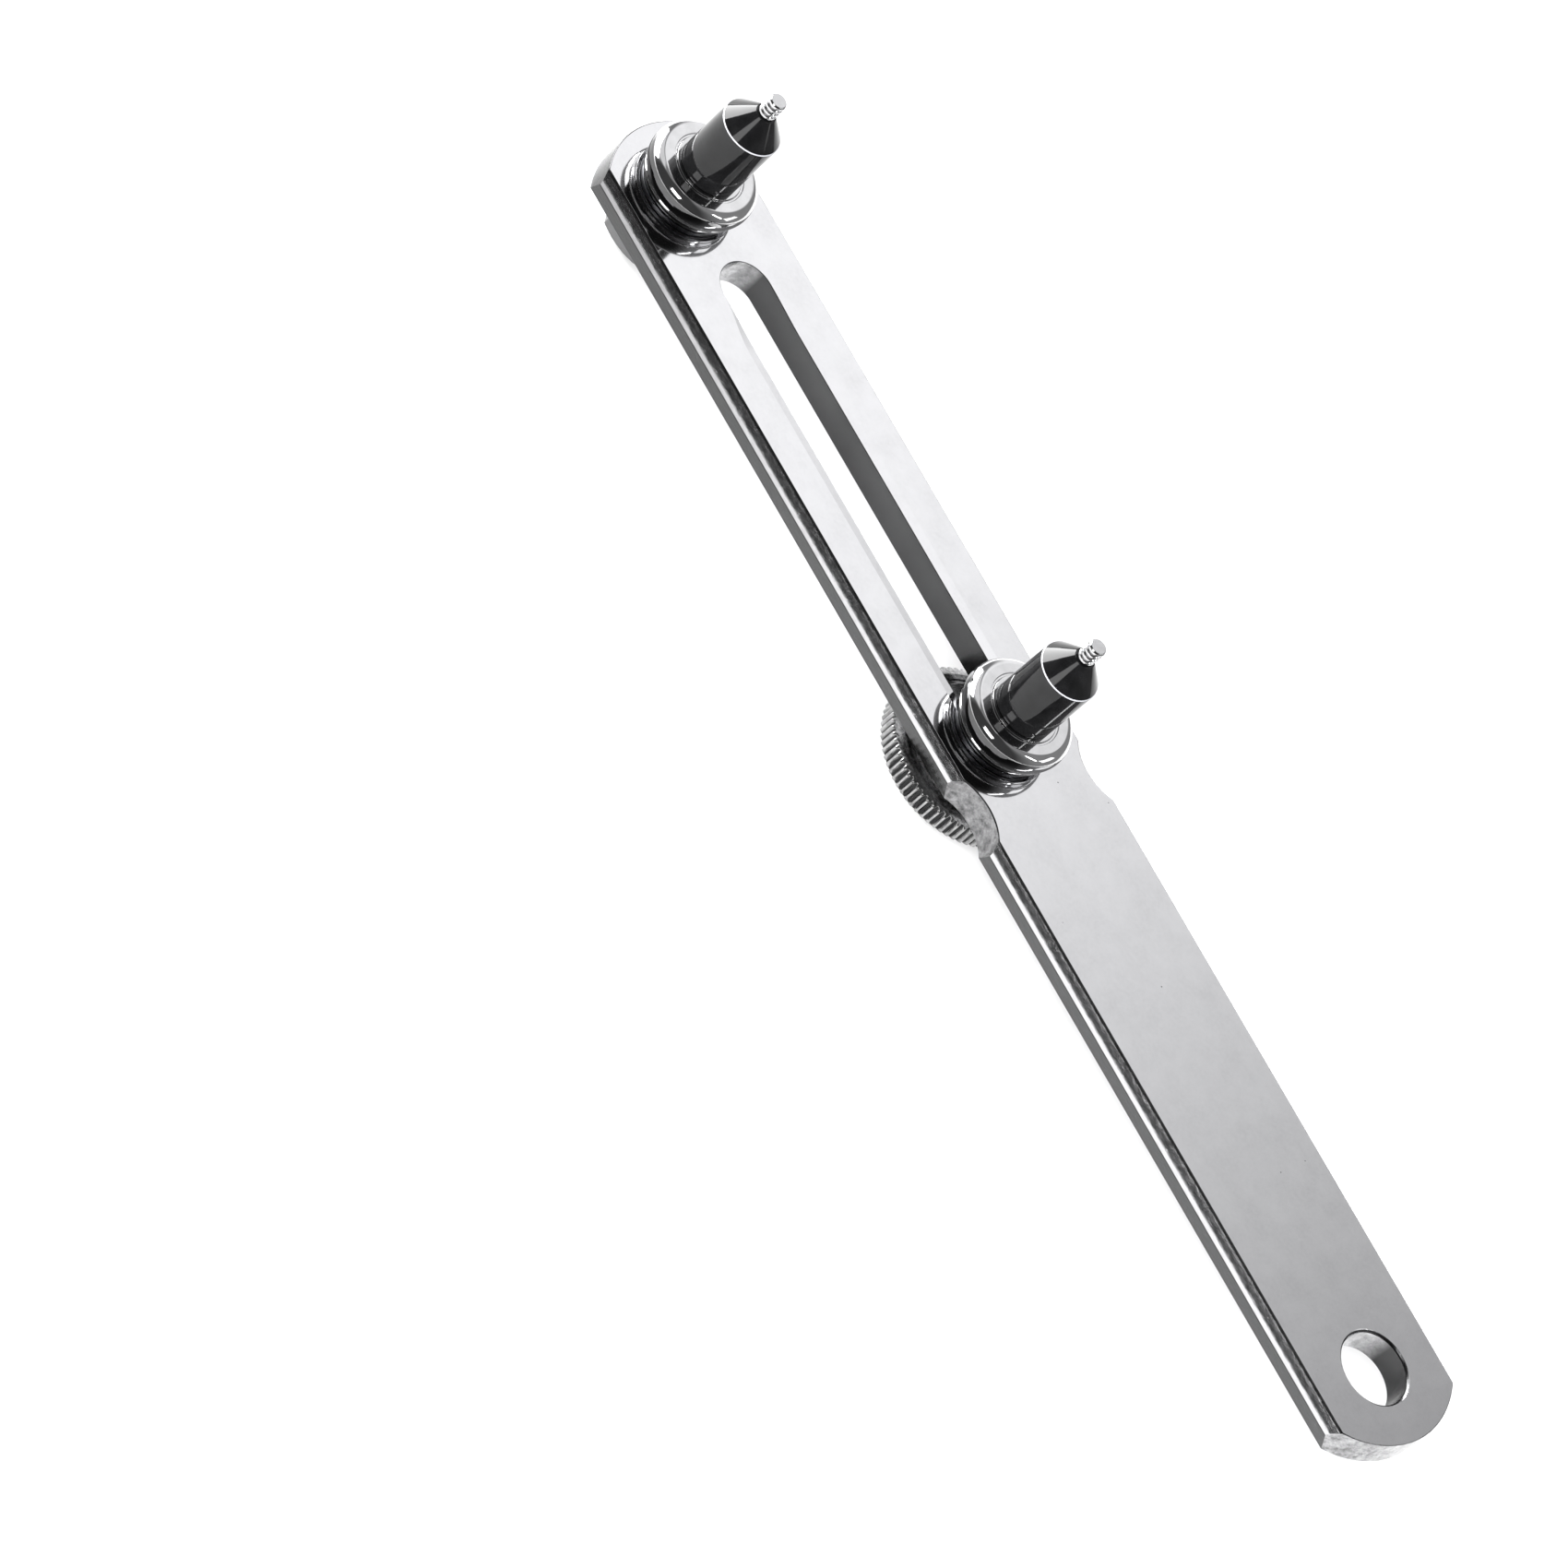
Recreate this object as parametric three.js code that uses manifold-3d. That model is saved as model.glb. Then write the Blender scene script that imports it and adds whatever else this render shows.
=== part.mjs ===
// Case back opener: a slotted steel bar with one fixed and one sliding pin socket.
// Millimetres. +X runs from the head to the tail of the bar, +Z is the side of the pins.
// The origin is under the middle of the bar, on the surface that the thumb cap stands on.

import * as THREE from 'three';
import { mergeVertices } from 'three/addons/utils/BufferGeometryUtils.js';
import Module from 'manifold-3d';

// ---- Driving dimensions ----

const ROUND_SEGMENTS = 32;
const SMALL_SEGMENTS = 16;
const STACK_GAP = 0.05;
const RUNNING_GAP = 0.05;
const EDGE_CHAMFER = 0.08;
const FINE_CHAMFER = 0.04;

// How far a cutter runs past the surface that it opens.
const OVERSHOOT = 1;

const BAR_LENGTH = 143;
const BAR_THICKNESS = 3.4;
const FACE_HALF_WIDTH = 8.0;
const RIDGE_HALF_WIDTH = 8.6;
const RIDGE_DEPTH = 1.4;
const END_RADIUS = 11.05;

// Height of the bar's front face above the surface that the thumb cap stands on.
const FACE_Z = 8.7;
const BACK_Z = FACE_Z - BAR_THICKNESS;
const HEAD_X = -BAR_LENGTH / 2;

const FIXED_PIN_X = HEAD_X + 7.35;
const SLIDING_PIN_X = HEAD_X + 66.9;

const SLOT_HALF_WIDTH = 3.05;
const SLOT_HEAD_X = HEAD_X + 18.7;
const SLOT_TAIL_X = SLIDING_PIN_X + 0.5;
const SLOT_BEVEL_WIDTH = 1.05;
const SLOT_BEVEL_DEPTH = 0.2;
// The bevel starts inside the slot's end, so that it fades out towards the head.
const SLOT_BEVEL_HEAD_X = SLOT_HEAD_X + SLOT_BEVEL_WIDTH + 0.1;

const WAIST_X = HEAD_X + 73.7;
const WAIST_RADIUS = 5.5;
const WAIST_DEPTH = 1.05;

const HANG_HOLE_X = HEAD_X + 135.35;
const HANG_HOLE_RADIUS = 3.65;
const HANG_HOLE_BEVEL = 0.25;

const POCKET_START_X = HEAD_X + 88;
const POCKET_END_X = HEAD_X + 124;
const POCKET_HALF_WIDTH = 4.4;
const POCKET_DEPTH = 1.2;
const POCKET_DRAFT = 0.5;

// The socket: a bulged collar on a shoulder that fits the slot, over an M5 stud.
const BASE_WASHER_RADIUS = 5.0;
const BASE_WASHER_THICKNESS = 0.55;
const COLLAR_TOP_Z = FACE_Z + 3.66;
const COLLAR_FOOT_RADIUS = 5.4;
const COLLAR_BULGE_RADIUS = 5.75;
const COLLAR_TOP_RADIUS = 5.05;
const COLLAR_BULGE_Z = FACE_Z + 1.9;
const SHOULDER_RADIUS = SLOT_HALF_WIDTH - RUNNING_GAP;
const THREAD_RADIUS = 2.5;
const THREAD_HOLE_RADIUS = THREAD_RADIUS + RUNNING_GAP;
const STUD_CHAMFER = 0.3;
const WASHER_HOLE_RADIUS = 2.65;
const BORE_RADIUS = 2.05;
const BORE_BOTTOM_Z = FACE_Z - 2.6;
const BORE_CHAMFER = 0.2;
const HEAD_STUD_END_Z = 0.2;
const SLIDER_STUD_END_Z = 0.95;

// The exchangeable pin.
const PIN_RADIUS = 3.2;
const PIN_SEAT_Z = COLLAR_TOP_Z + STACK_GAP;
const PIN_FOOT_CHAMFER = 0.15;
const PIN_SHOULDER_Z = FACE_Z + 10.95;
const PIN_SHOULDER_CHAMFER = 0.06;
const CONE_TOP_Z = FACE_Z + 13.4;
const CONE_TOP_RADIUS = 1.05;
const SHANK_RADIUS = BORE_RADIUS - RUNNING_GAP;
const SHANK_END_Z = FACE_Z - 2.3;
const SHANK_CHAMFER = 0.3;
const RING_GROOVE_RADIUS = 1.55;
const RING_GROOVE_Z = FACE_Z + 0.4;
const RING_GROOVE_HEIGHT = 0.6;
const SNAP_RING_RADIUS = BORE_RADIUS - 0.03;
const SNAP_RING_MOUTH = 1.1;
const TIP_RADIUS = 0.92;
const TIP_NECK_RADIUS = 0.72;
const TIP_RINGS = 3;
const TIP_END_Z = FACE_Z + 15.6;
const TIP_STEM_RADIUS = 0.6;
const TIP_STEM_END_Z = FACE_Z + 10.7;

// The clamp under the slider.
const CLAMP_WASHER_RADIUS = 6.6;
const CLAMP_WASHER_THICKNESS = 0.5;
const DISC_SPRING_RADIUS = 5.4;
const DISC_SPRING_HEIGHT = 0.25;
const DISC_SPRING_SHEET = 0.15;
const THUMB_NUT_RADIUS = 9.1;
const THUMB_NUT_TOP_Z = 4.4;
const THUMB_NUT_BOTTOM_Z = 1.6;
const THUMB_NUT_TOP_CHAMFER = 1.0;
const THUMB_NUT_BOTTOM_CHAMFER = 0.4;
const KNURL_COUNT = 76;
const KNURL_DEPTH = 0.28;
const COUNTERBORE_RADIUS = 4.4;
const COUNTERBORE_DEPTH = 0.7;
const THUMB_RING_RADIUS = 6.7;
const THUMB_RING_HEIGHT = 0.4;
const THUMB_CAP_RADIUS = 5.8;
const THUMB_CAP_FLOOR = 0.75;
const THUMB_CAP_ROUNDING = 0.55;
const STOP_RING_TOP_Z = 1.45;
const STOP_RING_THICKNESS = 0.35;
const STOP_RING_RADIUS = 3.5;
const STOP_RING_MOUTH = 2.6;
const STOP_GROOVE_RADIUS = 2.1;

// The fastening of the fixed socket.
const HEAD_WASHER_RADIUS = 4.9;
const HEAD_WASHER_THICKNESS = 0.5;
const LOCK_WASHER_RADIUS = 4.1;
const LOCK_WASHER_THICKNESS = 0.8;
const LOCK_WASHER_SPLIT = 0.7;
const LOCK_WASHER_SPLIT_ANGLE = THREE.MathUtils.degToRad(20);
const HEX_NUT_ACROSS_FLATS = 8.2;
const HEX_NUT_BOTTOM_Z = 0.7;
const HEX_NUT_CORNER_ANGLE = THREE.MathUtils.degToRad(-112);
const HEX_NUT_CONE_SLOPE = 0.6;

// ---- Solids ----

const wasm = await Module();
wasm.setup();

/** Triangles of a welded geometry, without those that collapsed to a line. */
function soundTriangles(index) {
  const kept = [];
  for (let i = 0; i < index.length; i += 3) {
    const [a, b, c] = [index[i], index[i + 1], index[i + 2]];
    if (a !== b && b !== c && c !== a) kept.push(a, b, c);
  }
  return kept;
}

/** Six times the signed volume inside the triangles. */
function signedVolume(position, triangles) {
  const a = new THREE.Vector3();
  const b = new THREE.Vector3();
  const c = new THREE.Vector3();
  let sum = 0;
  for (let i = 0; i < triangles.length; i += 3) {
    a.fromBufferAttribute(position, triangles[i]);
    b.fromBufferAttribute(position, triangles[i + 1]);
    c.fromBufferAttribute(position, triangles[i + 2]);
    sum += a.dot(b.cross(c));
  }
  return sum;
}

/** A three.js geometry as a manifold solid that faces outwards. */
function solidOf(geometry) {
  const bare = geometry.clone();
  bare.deleteAttribute('normal');
  bare.deleteAttribute('uv');
  const welded = mergeVertices(bare, 1e-4);
  const triangles = soundTriangles(welded.index.array);
  if (signedVolume(welded.attributes.position, triangles) < 0) triangles.reverse();
  const mesh = new wasm.Mesh({
    numProp: 3,
    vertProperties: new Float32Array(welded.attributes.position.array),
    triVerts: new Uint32Array(triangles),
  });
  return new wasm.Manifold(mesh);
}

/** A manifold solid as a three.js geometry. */
function geometryOf(solid) {
  const mesh = solid.getMesh();
  const geometry = new THREE.BufferGeometry();
  geometry.setAttribute('position', new THREE.BufferAttribute(mesh.vertProperties, 3));
  geometry.setIndex(new THREE.BufferAttribute(mesh.triVerts, 1));
  geometry.computeVertexNormals();
  return geometry;
}

/** Solid of revolution about the Z axis at x, from [radius, z] points. */
function turned(x, profile, segments = ROUND_SEGMENTS) {
  const points = profile.map(([radius, z]) => new THREE.Vector2(radius, z));
  const geometry = new THREE.LatheGeometry(points, segments);
  geometry.rotateX(Math.PI / 2);
  geometry.translate(x, 0, 0);
  return solidOf(geometry);
}

/** Flat ring about the Z axis at x, with the same small chamfer on its four edges. */
function ring(x, innerRadius, outerRadius, bottom, top, chamfer = EDGE_CHAMFER) {
  return turned(x, [
    [innerRadius + chamfer, bottom],
    [outerRadius - chamfer, bottom],
    [outerRadius, bottom + chamfer],
    [outerRadius, top - chamfer],
    [outerRadius - chamfer, top],
    [innerRadius + chamfer, top],
    [innerRadius, top - chamfer],
    [innerRadius, bottom + chamfer],
    [innerRadius + chamfer, bottom],
  ]);
}

/** Upright prism over a flat outline. */
function prism(shape, bottom, top, curveSegments = SMALL_SEGMENTS) {
  const settings = { depth: top - bottom, bevelEnabled: false, curveSegments };
  const geometry = new THREE.ExtrudeGeometry(shape, settings);
  geometry.translate(0, 0, bottom);
  return solidOf(geometry);
}

/** Slot outline with round ends, centred on the X axis. */
function stadium(startX, endX, halfWidth) {
  const shape = new THREE.Shape();
  shape.absarc(endX, 0, halfWidth, -Math.PI / 2, Math.PI / 2, false);
  shape.absarc(startX, 0, halfWidth, Math.PI / 2, (3 * Math.PI) / 2, false);
  shape.closePath();
  return shape;
}

/** Slot-shaped cutter that widens by spread from bottom up to wideZ, and stays wide for a while. */
function wideningSlot(startX, endX, halfWidth, spread, bottom, wideZ) {
  const geometry = new THREE.ExtrudeGeometry(stadium(startX, endX, halfWidth), {
    depth: BAR_THICKNESS,
    bevelSize: spread,
    bevelThickness: wideZ - bottom,
    bevelSegments: 1,
    curveSegments: SMALL_SEGMENTS,
  });
  geometry.translate(0, 0, wideZ);
  return geometry;
}

/** Box solid that is centred at a point and turned about Z. */
function block(size, centre, angle = 0) {
  const geometry = new THREE.BoxGeometry(...size);
  geometry.rotateZ(angle);
  geometry.translate(...centre);
  return solidOf(geometry);
}

// ---- The bar ----

/** Plan of the bar: straight sides wider than the bar, and a shallow arc at each end. */
function barPlan() {
  const arcCentre = BAR_LENGTH / 2 - END_RADIUS;
  const halfWidth = RIDGE_HALF_WIDTH + 0.4;
  const spread = Math.asin(halfWidth / END_RADIUS);
  const shape = new THREE.Shape();
  shape.absarc(arcCentre, 0, END_RADIUS, -spread, spread, false);
  shape.absarc(-arcCentre, 0, END_RADIUS, Math.PI - spread, Math.PI + spread, false);
  shape.closePath();
  return shape;
}

/** Cross-section of the bar in Y and Z, with convex sides that meet at a ridge. */
function barSection() {
  const ridgeZ = FACE_Z - RIDGE_DEPTH;
  const corners = [
    [FACE_HALF_WIDTH, FACE_Z],
    [RIDGE_HALF_WIDTH, ridgeZ],
    [FACE_HALF_WIDTH, BACK_Z],
  ];
  const mirrored = corners.map(([y, z]) => [-y, z]).reverse();
  const outline = [...corners, ...mirrored].map(([y, z]) => new THREE.Vector2(y, z));
  return new THREE.Shape(outline);
}

/** The section drawn out along the whole length of the bar. */
function sectionSolid() {
  const geometry = new THREE.ExtrudeGeometry(barSection(), { depth: BAR_LENGTH, bevelEnabled: false });
  geometry.translate(0, 0, HEAD_X);
  const yAxis = new THREE.Vector3(0, 1, 0);
  const zAxis = new THREE.Vector3(0, 0, 1);
  const xAxis = new THREE.Vector3(1, 0, 0);
  geometry.applyMatrix4(new THREE.Matrix4().makeBasis(yAxis, zAxis, xAxis));
  return solidOf(geometry);
}

/** Cutter for the scallop on one side of the waist. */
function waistCutter(side) {
  const scallop = new THREE.Shape();
  const centreY = side * (FACE_HALF_WIDTH - WAIST_DEPTH + WAIST_RADIUS);
  scallop.absarc(WAIST_X, centreY, WAIST_RADIUS, 0, 2 * Math.PI, false);
  return prism(scallop, BACK_Z - OVERSHOOT, FACE_Z + OVERSHOOT);
}

/** Cutter for the hang hole, with a small bevel at both faces. */
function hangHoleCutter() {
  const wide = HANG_HOLE_RADIUS + HANG_HOLE_BEVEL;
  return turned(HANG_HOLE_X, [
    [0, BACK_Z - OVERSHOOT],
    [wide, BACK_Z - OVERSHOOT],
    [wide, BACK_Z],
    [HANG_HOLE_RADIUS, BACK_Z + HANG_HOLE_BEVEL],
    [HANG_HOLE_RADIUS, FACE_Z - HANG_HOLE_BEVEL],
    [wide, FACE_Z],
    [wide, FACE_Z + OVERSHOOT],
    [0, FACE_Z + OVERSHOOT],
  ]);
}

/** Cutter for the pocket in the back, whose walls lean out towards the back face. */
function pocketCutter() {
  const floorHalfWidth = POCKET_HALF_WIDTH - POCKET_DRAFT;
  const cutter = wideningSlot(POCKET_START_X, POCKET_END_X, floorHalfWidth, POCKET_DRAFT, 0, POCKET_DEPTH);
  cutter.scale(1, 1, -1);
  cutter.translate(0, 0, BACK_Z + POCKET_DEPTH);
  return solidOf(cutter);
}

function handleBar() {
  const cutFrom = BACK_Z - OVERSHOOT;
  const cutTo = FACE_Z + OVERSHOOT;
  const headHole = new THREE.Shape();
  headHole.absarc(FIXED_PIN_X, 0, SLOT_HALF_WIDTH, 0, 2 * Math.PI, false);
  const slot = prism(stadium(SLOT_HEAD_X, SLOT_TAIL_X, SLOT_HALF_WIDTH), cutFrom, cutTo);
  const slotBevel = wideningSlot(
    SLOT_BEVEL_HEAD_X, SLOT_TAIL_X, SLOT_HALF_WIDTH, SLOT_BEVEL_WIDTH, FACE_Z - SLOT_BEVEL_DEPTH, FACE_Z,
  );
  return prism(barPlan(), BACK_Z, FACE_Z)
    .intersect(sectionSolid())
    .subtract(slot)
    .subtract(solidOf(slotBevel))
    .subtract(prism(headHole, cutFrom, cutTo))
    .subtract(hangHoleCutter())
    .subtract(waistCutter(1))
    .subtract(waistCutter(-1))
    .subtract(pocketCutter());
}

// ---- The sockets ----

const COLLAR_FOOT_Z = FACE_Z + STACK_GAP + BASE_WASHER_THICKNESS + STACK_GAP;

/** Outside of the collar from its foot to its top: two quarter bows that meet at the bulge. */
function collarBulge() {
  const steps = 3;
  const points = [];
  for (let step = 0; step <= steps; step += 1) {
    const turn = ((Math.PI / 2) * step) / steps;
    const radius = COLLAR_FOOT_RADIUS + (COLLAR_BULGE_RADIUS - COLLAR_FOOT_RADIUS) * Math.sin(turn);
    const height = (COLLAR_BULGE_Z - COLLAR_FOOT_Z) * (1 - Math.cos(turn));
    points.push([radius, COLLAR_FOOT_Z + height]);
  }
  for (let step = 1; step <= steps; step += 1) {
    const turn = ((Math.PI / 2) * step) / steps;
    const radius = COLLAR_TOP_RADIUS + (COLLAR_BULGE_RADIUS - COLLAR_TOP_RADIUS) * Math.cos(turn);
    points.push([radius, COLLAR_BULGE_Z + (COLLAR_TOP_Z - COLLAR_BULGE_Z) * Math.sin(turn)]);
  }
  return points;
}

/** Collar, slot shoulder and threaded stud in one turned piece, with the pin's blind bore. */
function socket(x, studEndZ) {
  const shoulderEndZ = BACK_Z + STACK_GAP;
  return turned(x, [
    [0, studEndZ],
    [THREAD_RADIUS - STUD_CHAMFER, studEndZ],
    [THREAD_RADIUS, studEndZ + STUD_CHAMFER],
    [THREAD_RADIUS, shoulderEndZ],
    [SHOULDER_RADIUS, shoulderEndZ],
    [SHOULDER_RADIUS, COLLAR_FOOT_Z],
    ...collarBulge(),
    [BORE_RADIUS + BORE_CHAMFER, COLLAR_TOP_Z],
    [BORE_RADIUS, COLLAR_TOP_Z - BORE_CHAMFER],
    [BORE_RADIUS, BORE_BOTTOM_Z],
    [0, BORE_BOTTOM_Z],
  ]);
}

/** The slider's socket has a groove for the stop ring near the end of its stud. */
function sliderSocket() {
  const grooveBottomZ = STOP_RING_TOP_Z - STOP_RING_THICKNESS - STACK_GAP;
  const grooveTopZ = STOP_RING_TOP_Z + STACK_GAP;
  const cutRadius = THREAD_RADIUS + OVERSHOOT;
  const groove = ring(SLIDING_PIN_X, STOP_GROOVE_RADIUS, cutRadius, grooveBottomZ, grooveTopZ, FINE_CHAMFER);
  return socket(SLIDING_PIN_X, SLIDER_STUD_END_Z).subtract(groove);
}

function baseWasher(x) {
  const bottom = FACE_Z + STACK_GAP;
  return ring(x, SLOT_HALF_WIDTH + 0.1, BASE_WASHER_RADIUS, bottom, bottom + BASE_WASHER_THICKNESS);
}

// ---- The exchangeable pins ----

function pin(x) {
  const grooveTopZ = RING_GROOVE_Z + RING_GROOVE_HEIGHT;
  const stemHoleRadius = TIP_STEM_RADIUS + RUNNING_GAP;
  const stemHoleEndZ = TIP_STEM_END_Z - STACK_GAP;
  return turned(x, [
    [0, SHANK_END_Z],
    [SHANK_RADIUS - SHANK_CHAMFER, SHANK_END_Z],
    [SHANK_RADIUS, SHANK_END_Z + SHANK_CHAMFER],
    [SHANK_RADIUS, RING_GROOVE_Z],
    [RING_GROOVE_RADIUS, RING_GROOVE_Z],
    [RING_GROOVE_RADIUS, grooveTopZ],
    [SHANK_RADIUS, grooveTopZ],
    [SHANK_RADIUS, PIN_SEAT_Z],
    [PIN_RADIUS - PIN_FOOT_CHAMFER, PIN_SEAT_Z],
    [PIN_RADIUS, PIN_SEAT_Z + PIN_FOOT_CHAMFER],
    [PIN_RADIUS, PIN_SHOULDER_Z - PIN_SHOULDER_CHAMFER],
    [PIN_RADIUS - PIN_SHOULDER_CHAMFER, PIN_SHOULDER_Z],
    [CONE_TOP_RADIUS, CONE_TOP_Z],
    [stemHoleRadius, CONE_TOP_Z],
    [stemHoleRadius, stemHoleEndZ],
    [0, stemHoleEndZ],
  ]);
}

/** Nub with turned rings on a stem that is pressed into the pin. */
function pinTip(x) {
  const seatZ = CONE_TOP_Z + STACK_GAP;
  const ringPitch = (TIP_END_Z - seatZ) / TIP_RINGS;
  const profile = [
    [0, TIP_STEM_END_Z],
    [TIP_STEM_RADIUS, TIP_STEM_END_Z],
    [TIP_STEM_RADIUS, seatZ],
  ];
  for (let count = 0; count < TIP_RINGS; count += 1) {
    const low = seatZ + ringPitch * count;
    profile.push([TIP_NECK_RADIUS, low], [TIP_RADIUS, low + ringPitch * 0.3]);
    profile.push([TIP_RADIUS, low + ringPitch * 0.75]);
  }
  profile.push([TIP_NECK_RADIUS, TIP_END_Z], [0, TIP_END_Z]);
  return turned(x, profile, SMALL_SEGMENTS);
}

/** Open ring in the groove of the pin's shank. */
function snapRing(x) {
  const bottom = RING_GROOVE_Z + STACK_GAP;
  const top = RING_GROOVE_Z + RING_GROOVE_HEIGHT - STACK_GAP;
  const innerRadius = RING_GROOVE_RADIUS + RUNNING_GAP;
  const mouth = block([SNAP_RING_RADIUS, SNAP_RING_MOUTH, 2], [x + SNAP_RING_RADIUS, 0, bottom]);
  return ring(x, innerRadius, SNAP_RING_RADIUS, bottom, top, FINE_CHAMFER).subtract(mouth);
}

// ---- The clamp of the slider ----

const CLAMP_WASHER_TOP_Z = BACK_Z - STACK_GAP;
const CLAMP_WASHER_BOTTOM_Z = CLAMP_WASHER_TOP_Z - CLAMP_WASHER_THICKNESS;

function clampWasher() {
  return ring(
    SLIDING_PIN_X, WASHER_HOLE_RADIUS, CLAMP_WASHER_RADIUS, CLAMP_WASHER_BOTTOM_Z, CLAMP_WASHER_TOP_Z,
  );
}

/** Conical spring washer: its rim bears on the clamp washer, its hole on the nut. */
function discSpring() {
  const rimTop = CLAMP_WASHER_BOTTOM_Z - STACK_GAP;
  const holeBottom = rimTop - DISC_SPRING_HEIGHT;
  return turned(SLIDING_PIN_X, [
    [WASHER_HOLE_RADIUS, holeBottom],
    [DISC_SPRING_RADIUS, rimTop - DISC_SPRING_SHEET],
    [DISC_SPRING_RADIUS, rimTop],
    [WASHER_HOLE_RADIUS, holeBottom + DISC_SPRING_SHEET],
    [WASHER_HOLE_RADIUS, holeBottom],
  ]);
}

/** Outline of the straight knurl: one ridge and one valley for each tooth. */
function knurlOutline() {
  const points = [];
  for (let half = 0; half < 2 * KNURL_COUNT; half += 1) {
    const radius = THUMB_NUT_RADIUS - (half % 2) * KNURL_DEPTH;
    const angle = (Math.PI * half) / KNURL_COUNT;
    points.push(new THREE.Vector2(SLIDING_PIN_X + radius * Math.cos(angle), radius * Math.sin(angle)));
  }
  return new THREE.Shape(points);
}

function thumbNut() {
  const topRadius = THUMB_NUT_RADIUS - THUMB_NUT_TOP_CHAMFER;
  const bottomRadius = THUMB_NUT_RADIUS - THUMB_NUT_BOTTOM_CHAMFER;
  const chamferRise = THUMB_NUT_TOP_CHAMFER / 2;
  const clearRadius = THUMB_NUT_RADIUS + 0.1;
  const envelope = turned(SLIDING_PIN_X, [
    [0, THUMB_NUT_BOTTOM_Z],
    [bottomRadius, THUMB_NUT_BOTTOM_Z],
    [clearRadius, THUMB_NUT_BOTTOM_Z + THUMB_NUT_BOTTOM_CHAMFER],
    [clearRadius, THUMB_NUT_TOP_Z - chamferRise],
    [topRadius, THUMB_NUT_TOP_Z],
    [0, THUMB_NUT_TOP_Z],
  ]);
  const counterboreZ = THUMB_NUT_BOTTOM_Z + COUNTERBORE_DEPTH;
  const hole = turned(SLIDING_PIN_X, [
    [0, THUMB_NUT_BOTTOM_Z - OVERSHOOT],
    [COUNTERBORE_RADIUS, THUMB_NUT_BOTTOM_Z - OVERSHOOT],
    [COUNTERBORE_RADIUS, counterboreZ],
    [THREAD_HOLE_RADIUS, counterboreZ],
    [THREAD_HOLE_RADIUS, THUMB_NUT_TOP_Z + OVERSHOOT],
    [0, THUMB_NUT_TOP_Z + OVERSHOOT],
  ]);
  return prism(knurlOutline(), THUMB_NUT_BOTTOM_Z, THUMB_NUT_TOP_Z).intersect(envelope).subtract(hole);
}

function thumbRing() {
  const top = THUMB_NUT_BOTTOM_Z - STACK_GAP;
  return ring(SLIDING_PIN_X, THUMB_CAP_RADIUS + RUNNING_GAP, THUMB_RING_RADIUS, top - THUMB_RING_HEIGHT, top);
}

/** Round cap over the end of the stud, hollow towards the nut. */
function thumbCap() {
  const rimZ = THUMB_NUT_BOTTOM_Z - STACK_GAP;
  const rounding = [];
  const steps = 3;
  for (let step = 0; step <= steps; step += 1) {
    const turn = ((Math.PI / 2) * step) / steps;
    const radius = THUMB_CAP_RADIUS - THUMB_CAP_ROUNDING * (1 - Math.sin(turn));
    rounding.push([radius, THUMB_CAP_ROUNDING * (1 - Math.cos(turn))]);
  }
  return turned(SLIDING_PIN_X, [
    [0, 0],
    ...rounding,
    [THUMB_CAP_RADIUS, rimZ],
    [COUNTERBORE_RADIUS, rimZ],
    [COUNTERBORE_RADIUS, THUMB_CAP_FLOOR],
    [0, THUMB_CAP_FLOOR],
  ]);
}

/** Open ring on the end of the slider's stud. */
function stopRing() {
  const bottom = STOP_RING_TOP_Z - STOP_RING_THICKNESS;
  const innerRadius = STOP_GROOVE_RADIUS + RUNNING_GAP;
  const mouthX = SLIDING_PIN_X + STOP_RING_RADIUS;
  const mouth = block([STOP_RING_RADIUS, STOP_RING_MOUTH, 2], [mouthX, 0, bottom]);
  return ring(SLIDING_PIN_X, innerRadius, STOP_RING_RADIUS, bottom, STOP_RING_TOP_Z, FINE_CHAMFER)
    .subtract(mouth);
}

// ---- The fastening of the fixed socket ----

const HEAD_WASHER_TOP_Z = BACK_Z - STACK_GAP;
const LOCK_WASHER_TOP_Z = HEAD_WASHER_TOP_Z - HEAD_WASHER_THICKNESS - STACK_GAP;
const HEX_NUT_TOP_Z = LOCK_WASHER_TOP_Z - LOCK_WASHER_THICKNESS - STACK_GAP;

function headFlatWasher() {
  const bottom = HEAD_WASHER_TOP_Z - HEAD_WASHER_THICKNESS;
  return ring(FIXED_PIN_X, WASHER_HOLE_RADIUS, HEAD_WASHER_RADIUS, bottom, HEAD_WASHER_TOP_Z);
}

function headLockWasher() {
  const bottom = LOCK_WASHER_TOP_Z - LOCK_WASHER_THICKNESS;
  const splitCentre = [FIXED_PIN_X - (WASHER_HOLE_RADIUS + LOCK_WASHER_RADIUS) / 2, 0, bottom];
  const split = block([4, LOCK_WASHER_SPLIT, 3], splitCentre, LOCK_WASHER_SPLIT_ANGLE);
  return ring(FIXED_PIN_X, WASHER_HOLE_RADIUS, LOCK_WASHER_RADIUS, bottom, LOCK_WASHER_TOP_Z).subtract(split);
}

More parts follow.
